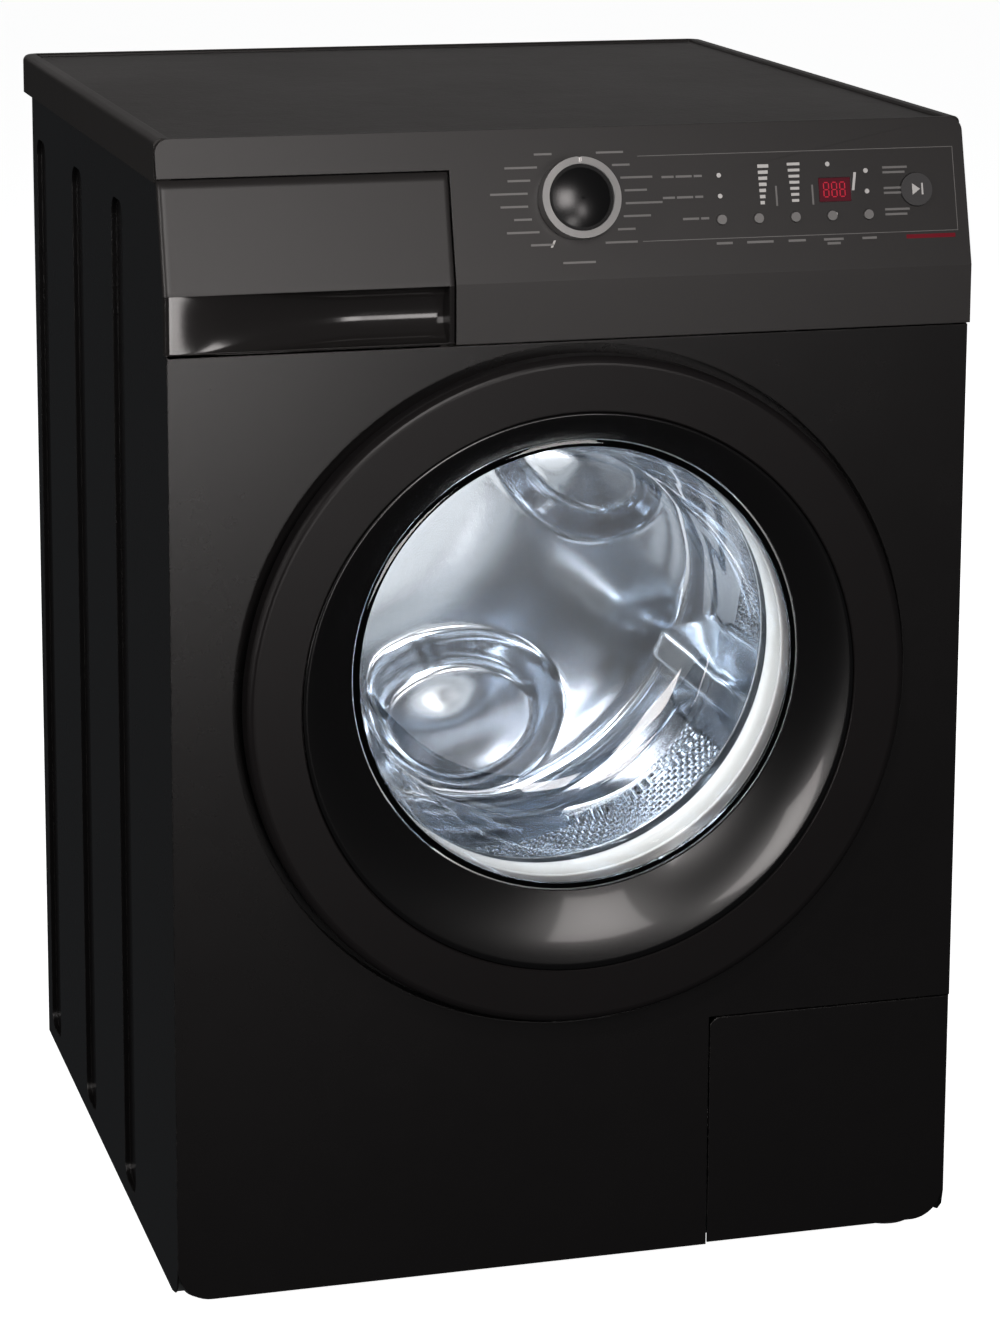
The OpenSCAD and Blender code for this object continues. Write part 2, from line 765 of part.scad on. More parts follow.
// Bowl of the door glass with its clamping flange
module door_glass() {
  flange_y = funnel_back + 0.1;
  color([0.75, 0.82, 0.85, 0.35]) in_casing() turned(0, drum_z) polygon([
    [178, flange_y], [178, flange_y + 3.6], [166, flange_y + 3.9], [164.4, 12], [162, 30],
    [150, 80], [143, 96], [130, 107], [108, 112], [0, 112], [0, 108], [107, 108],
    [128, 103], [139.3, 94], [146, 79], [158, 29], [160.4, 11], [162, flange_y]
  ]);
}

module door_back_frame() {
  y0 = -2;
  t = 3.4;
  color("#171717") in_casing() difference() {
    bar_y(0, door_z, y0, y0 + t, 240);
    bar_y(0, drum_z, y0 - 1, y0 + t + 1, 167);
    block([-250, y0 - 1, door_z - 40], [-197, y0 + t + 1, door_z + 40]);
    block([206, y0 - 1, door_z - 9], [236, y0 + t + 1, door_z + 9]);
  }
}

module door_hinge() {
  color("#b9bcbe") in_casing() difference() {
    union() {
      translate([pin_x, pin_y, door_z - hinge_half]) cylinder(h = 2 * hinge_half, r = 6);
      block([pin_x, pin_y + 1, door_z - hinge_half], [-186, pin_y + 6, door_z + hinge_half]);
      block([-196, pin_y + 5.9, door_z - hinge_half], [-186, -2.1, door_z + hinge_half]);
    }
    translate([pin_x, pin_y, door_z - 60]) cylinder(h = 120, r = pin_r + fit);
  }
}

module latch_hook() {
  color("#c9cbcd") in_casing() {
    translate([hook_x, hook_y, door_z - 7]) cylinder(h = 14, r = 4.5);
    block([hook_x - 3, hook_y, door_z - 6], [hook_x + 3, 38, door_z + 6]);
    block([hook_x + 2.9, 30, door_z - 6], [hook_x + 9, 38, door_z + 6]);
  }
}

// ---------- tub ----------

module tub_front() {
  color("#c8c9c7") in_casing() {
    turned(0, drum_z) {
      translate([tub_r - tub_wall, tub_y0]) square([tub_wall, tub_split - tub_y0 - 0.2]);
      translate([mouth_r, tub_y0]) square([tub_r - mouth_r, tub_wall]);
      translate([mouth_r, tub_y0 - 10]) square([3, 11]);
      translate([tub_r - tiny, tub_split - 7]) square([8, 6.8]);
      translate([215, tub_y0 + tub_wall - tiny]) square([3, 5]);
    }
    difference() {
      translate([-150, 150, 655]) cylinder(h = 42, r = 14);
      translate([-150, 150, 640]) cylinder(h = 60, r = 11.5);
      bar_y(0, drum_z, 100, 199, tub_r - 0.1);
    }
  }
}

module tub_shell_rear() {
  difference() {
    union() {
      turned(0, drum_z) {
        translate([tub_r - tub_wall, tub_split]) square([tub_wall, tub_y1 - tub_split]);
        translate([32, tub_y1 - 4]) square([tub_r - 32, 4]);
        translate([31, 424]) square([12, hub_y1 - 424]);
        translate([tub_r - tiny, tub_split]) square([8, 6.8]);
      }
      for (a = [0:30:330]) {
        translate([0, 0, drum_z]) rotate([0, a, 0]) block([42, tub_y1 - tiny, -2], [230, tub_y1 + 18, 2]);
      }
      block([-80, 212, 180], [20, 420, 232]);
      translate([-10, 225, 168]) cylinder(h = 20, r = 14);
      for (x = [motor_x - 50, motor_x + 38], y = [315, 425]) {
        block([x, y, motor_z + 52], [x + 12, y + 12, 250]);
      }
      for (s = [-1, 1]) {
        block([s * 228 - 40, spring_y - 12, 618], [s * 228 + 40, spring_y + 12, 648]);
        block([s * damper_x - 12, damper_y - 14, 286], [s * damper_x + 12, damper_y + 14, 318]);
      }
    }
    bar_y(0, drum_z, tub_split - 1, tub_y1 - 4, tub_r - tub_wall);
    difference() {
      block([-77, 215, 183], [17, 417, 240]);
      bar_y(0, drum_z, 200, 430, 200);
    }
    translate([-10, 225, 160]) cylinder(h = 40, r = 11.5);
    block([-62, 410, 196], [2, 425, 214]);
  }
}

module tub_rear() {
  color("#c8c9c7") in_casing() tub_shell_rear();
}

module weight_arc(a0, a1) {
  translate([0, 0, drum_z]) rotate([-90, 0, 0]) rotate([0, 0, a0])
    rotate_extrude(angle = a1 - a0, $fn = 120) translate([197, 32]) square([53, 35]);
}

module front_weights() {
  color("#9b9a96") in_casing() {
    weight_arc(215, 325);
    weight_arc(40, 140);
  }
}

module top_weight() {
  color("#9b9a96") in_casing() difference() {
    block([-78, 214, 680], [205, 418, 772]);
    bar_y(0, drum_z, 200, 430, tub_r + 0.4);
    for (x = [-40, 150]) translate([x, 316, 600]) cylinder(h = 200, r = 7);
  }
}

module motor_body() {
  color("#5b5f63") in_casing() difference() {
    union() {
      bar_y(motor_x, motor_z, 318, 440, motor_r);
      bar_y(motor_x, motor_z, 306, 318.1, 50);
      bar_y(motor_x, motor_z, 439.9, 456, 50);
      bar_y(motor_x, motor_z, 455.9, 464, 18);
    }
    bar_y(motor_x, motor_z, 440, 465, 5 + fit);
    for (a = [0:30:330]) {
      translate([motor_x, 0, motor_z]) rotate([0, a, 0]) block([30, 447, -3], [44, 458, 3]);
    }
    for (x = [motor_x - 50, motor_x + 38], y = [315, 425]) {
      block([x - 0.2, y - 0.2, motor_z + 20], [x + 12.2, y + 12.2, motor_z + 70]);
    }
  }
}

module heater() {
  z = 205;
  xs = [-52, -8];
  color("#b4b0a8") in_casing() {
    for (x = xs) bar_y(x, z, 246, 424, 3.6);
    translate([(xs[0] + xs[1]) / 2, 246, z]) rotate([0, 0, 180])
      rotate_extrude(angle = 180, $fn = 64) translate([22, 0]) circle(r = 3.6, $fn = 32);
    block([-61.5, 410.5, 196.5], [1.5, 423, 213.5]);
  }
}

module bearing_ring(y0, y1, r_in, r_out) {
  mid = (r_in + r_out) / 2;
  difference() {
    bar_y(0, drum_z, y0, y1, r_out);
    bar_y(0, drum_z, y0 - 1, y1 + 1, r_in);
    turned(0, drum_z) translate([mid - 2, y0 - 1]) square([4, 2]);
    turned(0, drum_z) translate([mid - 2, y1 - 1]) square([4, 2]);
  }
}

module bearing_set() {
  color("#a9adb1") in_casing() {
    bearing_ring(426, 433, shaft_r + fit, 30.95);
    bearing_ring(434, 450, shaft_r + fit, 30.95);
    bearing_ring(457, 472, shaft_end_r + fit, 30.95);
  }
}

// Outline of the belt, grown by grow around both pulleys
module belt_loop(grow) {
  c1 = [0, drum_z];
  c2 = [motor_x, motor_z];
  r1 = pulley_r + grow;
  r2 = motor_pulley_r + grow;
  d = c2 - c1;
  along = atan2(d[1], d[0]);
  wrap = acos((r1 - r2) / norm(d));
  n1 = 90;
  n2 = 16;
  big_turn = 360 - 2 * wrap;
  polygon(concat(
    [for (i = [0:n1]) let (a = along + wrap + big_turn * i / n1) c1 + r1 * [cos(a), sin(a)]],
    [for (i = [0:n2]) let (a = along - wrap + 2 * wrap * i / n2) c2 + r2 * [cos(a), sin(a)]]));
}

module drive_belt() {
  color("#1b1b1d") in_casing() plate_xz(belt_y0, belt_y1 - belt_y0) difference() {
    belt_loop(3.8);
    belt_loop(0.4);
  }
}

module damper_rods() {
  color("#c3c6c9") in_casing() for (x = [-damper_x, damper_x]) {
    translate([x, damper_y, 86]) cylinder(h = 200, r = 4.5);
    translate([x, damper_y, 78]) cylinder(h = 16, r = 8.5);
  }
}

// ---------- drum ----------

module drum_shell() {
  color("#bfc3c7") in_casing() turned(0, drum_z) {
    translate([drum_r - drum_wall, drum_y0 + 8]) square([drum_wall, drum_y1 - drum_y0 - 8]);
    translate([172, drum_y0]) square([drum_r - 8 - 172, drum_wall]);
    translate([170.8, drum_y0 - 5]) square([drum_wall, 11]);
    difference() {
      translate([drum_r - 8, drum_y0 + 8]) circle(r = 8, $fn = 48);
      translate([drum_r - 8, drum_y0 + 8]) circle(r = 8 - drum_wall, $fn = 48);
      translate([drum_r - 20, drum_y0 + 8]) square([30, 10]);
      translate([drum_r - 20, drum_y0 - 2]) square([12, 20]);
    }
    translate([0, drum_y1 - drum_wall]) square([drum_r, drum_wall]);
  }
}

module drum_lifters() {
  base = drum_r - drum_wall - 0.3;
  crown = base - lifter_h;
  color("#c9cdd0") in_casing() for (a = lifter_angles) {
    translate([0, 0, drum_z]) rotate([0, -a, 0]) intersection() {
      plate_xz(lifter_y0, lifter_y1 - lifter_y0) union() {
        polygon([[base + 2, -lifter_half], [base + 2, lifter_half], [base - 12, lifter_half - 6],
          [crown + 11, 17], [crown + 11, -17], [base - 12, -lifter_half + 6]]);
        translate([crown + 18, 0]) circle(r = 18, $fn = 48);
      }
      bar_y(0, 0, 100, 400, base);
    }
  }
}

module drum_spider() {
  y0 = drum_y1 + 0.2;
  color("#a3a7aa") in_casing() difference() {
    union() {
      for (a = lifter_angles) {
        translate([0, 0, drum_z]) rotate([0, -a, 0]) {
          block([10, y0, -16], [216, y0 + 6, 16]);
          block([10, y0 + 5, -4], [205, y0 + 12, 4]);
        }
      }
      bar_y(0, drum_z, y0, y0 + 12.5, 30);
      bar_y(0, drum_z, y0 + 12, 453, shaft_r);
      bar_y(0, drum_z, 452, 500, shaft_end_r);
    }
    bar_y(0, drum_z, 480, 501, 4);
  }
}

module drum_pulley() {
  y0 = 478;
  y1 = 490;
  color("#8f9498") in_casing() difference() {
    bar_y(0, drum_z, y0, y1, pulley_r);
    bar_y(0, drum_z, y0 - 1, y1 + 1, shaft_end_r);
    for (a = [0:60:300]) {
      translate([0, 0, drum_z]) rotate([0, a, 0]) bar_y(76, 0, y0 - 1, y1 + 1, 32);
    }
  }
}

module motor_pulley() {
  color("#8f9498") in_casing() {
    bar_y(motor_x, motor_z, 476, 492, motor_pulley_r);
    bar_y(motor_x, motor_z, 446, 476.1, 5);
  }
}

// ---------- pump, filter and flap ----------

module pump_impeller() {
  color("#2c2d30") in_casing() {
    bar_y(pump_x, pump_z, 99, 103, 12);
    for (a = [0:72:288]) {
      translate([pump_x, 0, pump_z]) rotate([0, a, 0]) block([2, 99, -1.2], [27, 113, 1.2]);
    }
    bar_y(pump_x, pump_z, 99, 128, 3);
  }
}

module filter_cap() {
  color("#26272a") in_casing() difference() {
    union() {
      bar_y(pump_x, pump_z, 17, 23, 33);
      bar_y(pump_x, pump_z, 22, 40, 28.92);
      bar_y(pump_x, pump_z, 39, 86, 18);
      block([pump_x - 26, 9, pump_z - 4], [pump_x + 26, 17.1, pump_z + 4]);
    }
    bar_y(pump_x, pump_z, 44, 87, 15.5);
    for (a = [0:45:135]) translate([pump_x, 0, pump_z]) rotate([0, a, 0]) {
      block([-30, 50, -3], [30, 80, 3]);
    }
  }
}

module filter_flap() {
  x0 = flap_x0;
  x1 = flap_x1;
  z0 = flap_z0;
  z1 = flap_z1;
  t = 1.5;
  color("#232122") in_casing() difference() {
    union() {
      plate_xz(0, t) union() {
        round_rect(x0, z0, x1, z1, 8);
        translate([x1 - 20, z1 - 20]) square([20, 20]);
        translate([x0, z0]) square([20, 20]);
      }
      plate_xz(t - tiny, 2) difference() {
        round_rect(x0 + 5, z0 + 20, x1 - 6, z1 - 5, 6);
        round_rect(x0 + 8, z0 + 23, x1 - 9, z1 - 8, 4);
      }
      for (x = [x0 + 8, x0 + 18, x1 - 24, x1 - 14]) {
        block([x, t - tiny, flap_pin_z - 4], [x + 3.4, flap_pin_y + 3, flap_pin_z + 6]);
      }
      for (x = [x0 + 9, x1 - 23]) {
        translate([x, flap_pin_y, flap_pin_z]) rotate([0, 90, 0]) cylinder(h = 11.5, r = 2.5);
      }
    }
    plate_xz(-1, 30) difference() {
      translate([x1 - corner_r, z0 - 2]) square([corner_r + 2, corner_r + 2]);
      translate([x1 - corner_r, z0 + corner_r]) circle(r = corner_r, $fn = 64);
    }
  }
}

// ---------- controls ----------

module knob_cap() {
  color("#121213") in_casing() on_slope(knob_x, knob_s) difference() {
    union() {
      translate([0, 0, knob_seat]) cylinder(h = 11, r = knob_r - 5.2);
      intersection() {
        translate([0, 0, -46]) sphere(r = 62, $fn = 128);
        translate([0, 0, knob_seat + 10.9]) cylinder(h = 8, r = knob_r - 5.2);
      }
    }
    translate([0, 0, -1]) cylinder(h = 10, r = 3 + fit);
  }
}

module knob_ring() {
  color("#c6c7c9") in_casing() on_slope(knob_x, knob_s) difference() {
    translate([0, 0, knob_seat]) cylinder(h = 12.5, r = knob_r);
    translate([0, 0, 0]) cylinder(h = 20, r = knob_r - 5.1);
    translate([-1.5, knob_r - 4, knob_seat + 9]) cube([3, 8, 6]);
  }
}

module button_body(r, proud) {
  translate([0, 0, -8]) cylinder(h = 8 + proud, r = r);
  translate([0, 0, -8]) cylinder(h = 3, r = r + 1.6);
}

module start_button() {
  color("#3a3a3c") in_casing() on_slope(start_x, start_s) button_body(start_r, 1.6);
}

module option_button(i) {
  color("#9a9a9c") in_casing() on_slope(option_x0 + (i - 1) * option_pitch, option_s)
    button_body(3.5, 1.4);
}

// ---------- front feet ----------

module screw_foot(x) {
  color("#151515") in_casing() {
    translate([x, foot_y0, 0]) cylinder(h = 7, r = 22);
    translate([x, foot_y0, 6.9]) cylinder(h = 1.9, r = 12);
    translate([x, foot_y0, 8]) cylinder(h = 30, r = 5);
  }
}

left_side_panel();
right_side_panel();
rear_panel();
service_cover();
front_panel();
base_tray();
top_frame();
worktop_frame();
worktop_board();
fascia();
display_window();
control_board();
drawer_housing();
inlet_valve();
rear_glands();
door_lock();
door_gasket();
hinge_bracket();
pump_body();
damper_tubes();
suspension_springs();
inner_hoses();
rear_feet();
drawer_front();
drawer_tray();
siphon_cap();
door_ring();
door_funnel();
door_glass();
door_back_frame();
door_hinge();
latch_hook();
tub_front();
tub_rear();
front_weights();
top_weight();
motor_body();
heater();
bearing_set();
drive_belt();
damper_rods();
drum_shell();
drum_lifters();
drum_spider();
drum_pulley();
motor_pulley();
pump_impeller();
filter_cap();
filter_flap();
knob_cap();
knob_ring();
start_button();
option_button(1);  // option_button_1
option_button(2);  // option_button_2
option_button(3);  // option_button_3
option_button(4);  // option_button_4
option_button(5);  // option_button_5
screw_foot(-foot_x);  // foot_left
screw_foot(foot_x);  // foot_right
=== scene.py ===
"""Finish, fine detail and studio for the front-loading washing machine."""
import json
import math

import bmesh
import bpy
import numpy as np
from mathutils import Matrix, Vector


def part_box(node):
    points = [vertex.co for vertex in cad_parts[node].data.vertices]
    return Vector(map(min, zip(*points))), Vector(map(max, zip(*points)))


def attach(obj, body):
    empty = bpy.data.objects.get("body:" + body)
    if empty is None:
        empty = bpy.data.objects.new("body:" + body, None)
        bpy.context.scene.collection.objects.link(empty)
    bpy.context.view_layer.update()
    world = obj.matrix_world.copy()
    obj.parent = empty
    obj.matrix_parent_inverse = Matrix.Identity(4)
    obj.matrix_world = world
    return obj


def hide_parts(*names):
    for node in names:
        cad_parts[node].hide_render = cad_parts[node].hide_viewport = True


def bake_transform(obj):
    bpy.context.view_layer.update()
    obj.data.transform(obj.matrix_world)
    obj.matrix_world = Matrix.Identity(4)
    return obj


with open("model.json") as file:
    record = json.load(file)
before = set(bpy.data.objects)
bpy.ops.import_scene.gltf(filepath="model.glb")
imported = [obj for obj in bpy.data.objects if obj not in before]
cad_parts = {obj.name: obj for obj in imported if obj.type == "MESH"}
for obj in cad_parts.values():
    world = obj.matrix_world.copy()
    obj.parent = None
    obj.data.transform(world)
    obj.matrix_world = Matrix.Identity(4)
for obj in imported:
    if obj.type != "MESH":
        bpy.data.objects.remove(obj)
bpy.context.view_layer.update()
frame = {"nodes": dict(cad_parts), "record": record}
nodes = frame["nodes"]

# ---------------------------------------------------------------- sizes, in millimetres
MM = 0.001
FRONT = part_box("front_panel")[0].y / MM          # outer face of the front panel
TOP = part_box("worktop_frame")[1].z / MM
DOOR_Z = (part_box("door_ring")[0].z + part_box("door_ring")[1].z) / 2 / MM
DRUM_Z = (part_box("drum_shell")[0].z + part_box("drum_shell")[1].z) / 2 / MM
DRUM_R = (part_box("drum_shell")[1].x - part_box("drum_shell")[0].x) / 2 / MM
SLOPE_Z = 745.0                                  # the fascia leans back from here up
SLOPE_RUN = 28.0
TILT = math.atan2(SLOPE_RUN, TOP - SLOPE_Z)
LIFTER_ANGLES = (95, 215, 335)                   # from +X towards +Z
LOBE_ANGLES = (35, 155, 275)
LOBE_MID, LOBE_REACH, LOBE_HALF = 148.0, 76.0, 104.0     # radius of its middle, half sizes
LOBE_RISE, LOBE_CROWN = 25.0, 5.0

# ---------------------------------------------------------------- mesh helpers


def depth(d):
    """Part-frame y of a depth behind the front panel's outer face."""
    return FRONT + d


def on_slope(x, s, out=0.0):
    """Point x across and s up the leaning fascia, out in front of it."""
    return (x, FRONT + s * math.sin(TILT) - out * math.cos(TILT),
            SLOPE_Z + s * math.cos(TILT) + out * math.sin(TILT))


def piece(name, verts, faces, material, body, smooth=40):
    """A mesh from points in millimetres, finished, named and riding on its body."""
    mesh = bpy.data.meshes.new(name)
    mesh.from_pydata([tuple(c * MM for c in v) for v in verts], [], faces)
    mesh.validate()
    mesh.update()
    obj = bpy.data.objects.new(name, mesh)
    bpy.context.scene.collection.objects.link(obj)
    mesh.materials.append(material)
    if smooth:
        mesh.shade_smooth()
        mesh.set_sharp_from_angle(angle=math.radians(smooth))
    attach(obj, body)
    return obj


class Shape:
    """Collects the parts of one mesh."""

    def __init__(self):
        self.verts, self.faces = [], []

    def add(self, verts, faces):
        start = len(self.verts)
        self.verts += [tuple(v) for v in verts]
        self.faces += [tuple(start + i for i in f) for f in faces]
        return self

    def grid(self, rows, loop=False):
        """Rows of equal length joined by quads; loop joins each row's end to its start."""
        n = len(rows[0])
        last = n if loop else n - 1
        faces = [(i * n + k, i * n + (k + 1) % n, (i + 1) * n + (k + 1) % n, (i + 1) * n + k)
                 for i in range(len(rows) - 1) for k in range(last)]
        return self.add([p for row in rows for p in row], faces)

    def turned(self, profile, x=0.0, z=None, steps=160):
        """A closed profile of (radius, depth) turned about a front-to-back axis."""
        z = DRUM_Z if z is None else z
        loop = list(profile) + [profile[0]]
        angles = [2 * math.pi * k / steps for k in range(steps)]
        rows = [[(x + r * math.cos(a), depth(d), z + r * math.sin(a)) for a in angles]
                for r, d in loop]
        return self.grid(rows[::-1], loop=True)

    def box(self, lo, hi):
        x0, y0, z0 = lo
        x1, y1, z1 = hi
        corners = [(x, y, z) for z in (z0, z1) for y in (y0, y1) for x in (x0, x1)]
        return self.add(corners, [(0, 2, 3, 1), (4, 5, 7, 6), (0, 1, 5, 4), (2, 6, 7, 3),
                                  (0, 4, 6, 2), (1, 3, 7, 5)])

    def plate(self, outline, place, thick):
        """A flat outline of (a, b) raised by thick; place maps (a, b, height) to a point."""
        n = len(outline)
        low = [place(a, b, 0.0) for a, b in outline]
        high = [place(a, b, thick) for a, b in outline]
        sides = [(k, (k + 1) % n, n + (k + 1) % n, n + k) for k in range(n)]
        return self.add(low + high, [tuple(range(n))[::-1], tuple(range(n, 2 * n))] + sides)

    def tube(self, path, radius, sides=12, ref=(0, 0, 1)):
        """Round tube along a path, with its ends closed."""
        pts = np.array(path, float)
        along = np.gradient(pts, axis=0)
        rows = []
        for p, d in zip(pts, along):
            d = d / np.linalg.norm(d)
            side = np.cross(d, ref)
            side /= np.linalg.norm(side)
            up = np.cross(side, d)
            rows.append([tuple(p + radius * (math.cos(t) * side + math.sin(t) * up))
                         for t in np.linspace(0, 2 * math.pi, sides, endpoint=False)])
        start = len(self.verts)
        self.grid(rows, loop=True)
        end = start + (len(rows) - 1) * sides
        self.faces += [tuple(start + k for k in range(sides))[::-1],
                       tuple(end + k for k in range(sides))]
        return self


def disc(cx, cy, r, steps=24):
    """Outline of a round, counter-clockwise."""
    return [(cx + r * math.cos(2 * math.pi * k / steps), cy + r * math.sin(2 * math.pi * k / steps))
            for k in range(steps)]


def smoothstep(t):
    t = np.clip(t, 0, 1)
    return t * t * (3 - 2 * t)


def curve_through(points, steps):
    """Points on a smooth curve through a few set ones."""
    p = [np.array(q, float) for q in points]
    out = []
    for i in range(len(p) - 1):
        a, b, c, d = p[max(i - 1, 0)], p[i], p[i + 1], p[min(i + 2, len(p) - 1)]
        for k in range(steps):
            t = k / steps
            out.append(0.5 * (2 * b + (c - a) * t + (2 * a - 5 * b + 4 * c - d) * t * t
                              + (3 * b - a - 3 * c + d) * t ** 3))
    return [tuple(q) for q in out] + [tuple(p[-1])]

# ---------------------------------------------------------------- shared effects


def effect(name, inputs, outputs):
    """An empty shader node group with its sockets; returns the group and its two ends."""
    group = bpy.data.node_groups.new(name, "ShaderNodeTree")
    for label, kind, value in inputs:
        socket = group.interface.new_socket(label, in_out="INPUT", socket_type=kind)
        socket.default_value = value
    for label, kind in outputs:
        group.interface.new_socket(label, in_out="OUTPUT", socket_type=kind)
    return group, group.nodes.new("NodeGroupInput"), group.nodes.new("NodeGroupOutput")


def node(tree, kind, **values):
    made = tree.nodes.new(kind)
    for key, value in values.items():
        setattr(made, key, value)
    return made


def link(tree, out, into):
    tree.links.new(out, into)


def math_node(tree, operation, a, b=None):
    made = node(tree, "ShaderNodeMath", operation=operation)
    for i, value in enumerate((a, b)):
        if isinstance(value, (int, float)):
            made.inputs[i].default_value = value
        elif value is not None:
            link(tree, value, made.inputs[i])
    return made.outputs[0]


def noise(tree, vector, scale, detail=3.0, rough=0.55):
    made = node(tree, "ShaderNodeTexNoise")
    made.inputs["Detail"].default_value = detail
    made.inputs["Roughness"].default_value = rough
    if isinstance(scale, (int, float)):
        made.inputs["Scale"].default_value = scale
    else:
        link(tree, scale, made.inputs["Scale"])
    link(tree, vector, made.inputs["Vector"])
    return made.outputs["Fac"]


def make_tone():
    """Slow drift of colour and shine over a surface, with finer rubbed marks in the shine."""
    group, start, end = effect("tone_drift", [
        ("Colour", "NodeSocketColor", (0.1, 0.1, 0.1, 1)), ("Drift", "NodeSocketFloat", 0.1),
        ("Roughness", "NodeSocketFloat", 0.4), ("Spread", "NodeSocketFloat", 0.08)],
        [("Colour", "NodeSocketColor"), ("Roughness", "NodeSocketFloat")])
    place = node(group, "ShaderNodeTexCoord").outputs["Object"]
    slow = math_node(group, "SUBTRACT", noise(group, place, 5.0), 0.5)
    fine = math_node(group, "SUBTRACT", noise(group, place, 48.0, 4.0), 0.5)
    both = math_node(group, "ADD", slow, math_node(group, "MULTIPLY", fine, 0.5))
    gain = math_node(group, "ADD", math_node(group, "MULTIPLY", both, start.outputs["Drift"]), 1.0)
    scaled = node(group, "ShaderNodeVectorMath", operation="SCALE")
    link(group, start.outputs["Colour"], scaled.inputs[0])
    link(group, gain, scaled.inputs["Scale"])
    link(group, scaled.outputs[0], end.inputs["Colour"])
    shift = math_node(group, "MULTIPLY", both, start.outputs["Spread"])
    link(group, math_node(group, "ADD", start.outputs["Roughness"], shift), end.inputs["Roughness"])
    return group


def make_grain():
    """Spark-eroded mould grain or paint texture, as a height."""
    group, start, end = effect("mould_grain", [
        ("Scale", "NodeSocketFloat", 900.0), ("Depth", "NodeSocketFloat", 1.0)],
        [("Height", "NodeSocketFloat")])
    place = node(group, "ShaderNodeTexCoord").outputs["Object"]
    pits = noise(group, place, start.outputs["Scale"], 2.0, 0.6)
    broad = noise(group, place, math_node(group, "MULTIPLY", start.outputs["Scale"], 0.13), 2.0)
    total = math_node(group, "ADD", pits, math_node(group, "MULTIPLY", broad, 0.8))
    link(group, math_node(group, "MULTIPLY", total, start.outputs["Depth"]), end.inputs["Height"])
    return group


def make_wear():
    """Mask that is 1 on outer edges, broken up as by handling."""
    group, start, end = effect("edge_wear", [
        ("Width", "NodeSocketFloat", 0.0012), ("Amount", "NodeSocketFloat", 0.5)],
        [("Mask", "NodeSocketFloat")])
    rounded_normal = node(group, "ShaderNodeBevel", samples=4)
    link(group, start.outputs["Width"], rounded_normal.inputs["Radius"])
    geometry = node(group, "ShaderNodeNewGeometry")
    dot = node(group, "ShaderNodeVectorMath", operation="DOT_PRODUCT")
    link(group, rounded_normal.outputs[0], dot.inputs[0])
    link(group, geometry.outputs["Normal"], dot.inputs[1])
    turned_away = math_node(group, "SUBTRACT", 1.0, dot.outputs["Value"])
    place = node(group, "ShaderNodeTexCoord").outputs["Object"]
    broken = math_node(group, "GREATER_THAN", noise(group, place, 160.0, 4.0), 0.47)
    worn = math_node(group, "MULTIPLY", math_node(group, "MULTIPLY", turned_away, 6.0), broken)
    worn = math_node(group, "MULTIPLY", worn, start.outputs["Amount"])
    limited = node(group, "ShaderNodeClamp")
    link(group, worn, limited.inputs[0])
    link(group, limited.outputs[0], end.inputs["Mask"])
    return group


def make_brushing():
    """Fine drawn lines along one direction, as a height."""
    group, start, end = effect("drawn_lines", [
        ("Stretch", "NodeSocketVector", (40.0, 1200.0, 1200.0))],
        [("Height", "NodeSocketFloat")])
    place = node(group, "ShaderNodeTexCoord").outputs["Object"]
    scaled = node(group, "ShaderNodeVectorMath", operation="MULTIPLY")
    link(group, place, scaled.inputs[0])
    link(group, start.outputs["Stretch"], scaled.inputs[1])
    lines = noise(group, scaled.outputs[0], 1.0, 3.0, 0.6)
    link(group, lines, end.inputs["Height"])
    return group


TONE, GRAIN, WEAR, LINES = make_tone(), make_grain(), make_wear(), make_brushing()


def placed(tree, group, **values):
    made = tree.nodes.new("ShaderNodeGroup")
    made.node_tree = group
    for key, value in values.items():
        made.inputs[key].default_value = value
    return made

# ---------------------------------------------------------------- finishes


def finish(name, colour, roughness, drift=0.12, spread=0.08, grain=(900.0, 0.05), metallic=0.0,
           coat=0.0, coat_roughness=0.1, specular=0.5, worn=None, brushed=None, sheen=0.0,
           edge=0.0):
    """A solid finish. grain is (scale, millimetres of bump); worn is (colour, width mm, amount);
    brushed is the stretch of its drawn lines."""
    material = bpy.data.materials.new(name)
    material.use_nodes = True
    tree = material.node_tree
    shader = tree.nodes["Principled BSDF"]
    shader.inputs["Metallic"].default_value = metallic
    shader.inputs["Coat Weight"].default_value = coat
    shader.inputs["Coat Roughness"].default_value = coat_roughness
    shader.inputs["Specular IOR Level"].default_value = specular
    shader.inputs["Sheen Weight"].default_value = sheen
    tone = placed(tree, TONE, Colour=(*colour, 1), Drift=drift, Roughness=roughness, Spread=spread)
    base = tone.outputs["Colour"]
    if worn:
        worn_colour, width, amount = worn
        wear = placed(tree, WEAR, Width=width * MM, Amount=amount)
        mix = node(tree, "ShaderNodeMix", data_type="RGBA")
        link(tree, wear.outputs["Mask"], mix.inputs["Factor"])
        link(tree, base, mix.inputs["A"])
        mix.inputs["B"].default_value = (*worn_colour, 1)
        base = mix.outputs["Result"]
    link(tree, base, shader.inputs["Base Color"])
    link(tree, tone.outputs["Roughness"], shader.inputs["Roughness"])
    bump = node(tree, "ShaderNodeBump")
    bump.inputs["Distance"].default_value = grain[1] * MM
    bump.inputs["Strength"].default_value = 1.0
    if brushed:
        lines = placed(tree, LINES, Stretch=brushed)
        link(tree, lines.outputs["Height"], bump.inputs["Height"])
    else:
        pits = placed(tree, GRAIN, Scale=grain[0], Depth=1.0)
        link(tree, pits.outputs["Height"], bump.inputs["Height"])
    if edge:
        softened = node(tree, "ShaderNodeBevel", samples=4)
        softened.inputs["Radius"].default_value = edge * MM
        link(tree, softened.outputs[0], bump.inputs["Normal"])
    link(tree, bump.outputs[0], shader.inputs["Normal"])
    return material


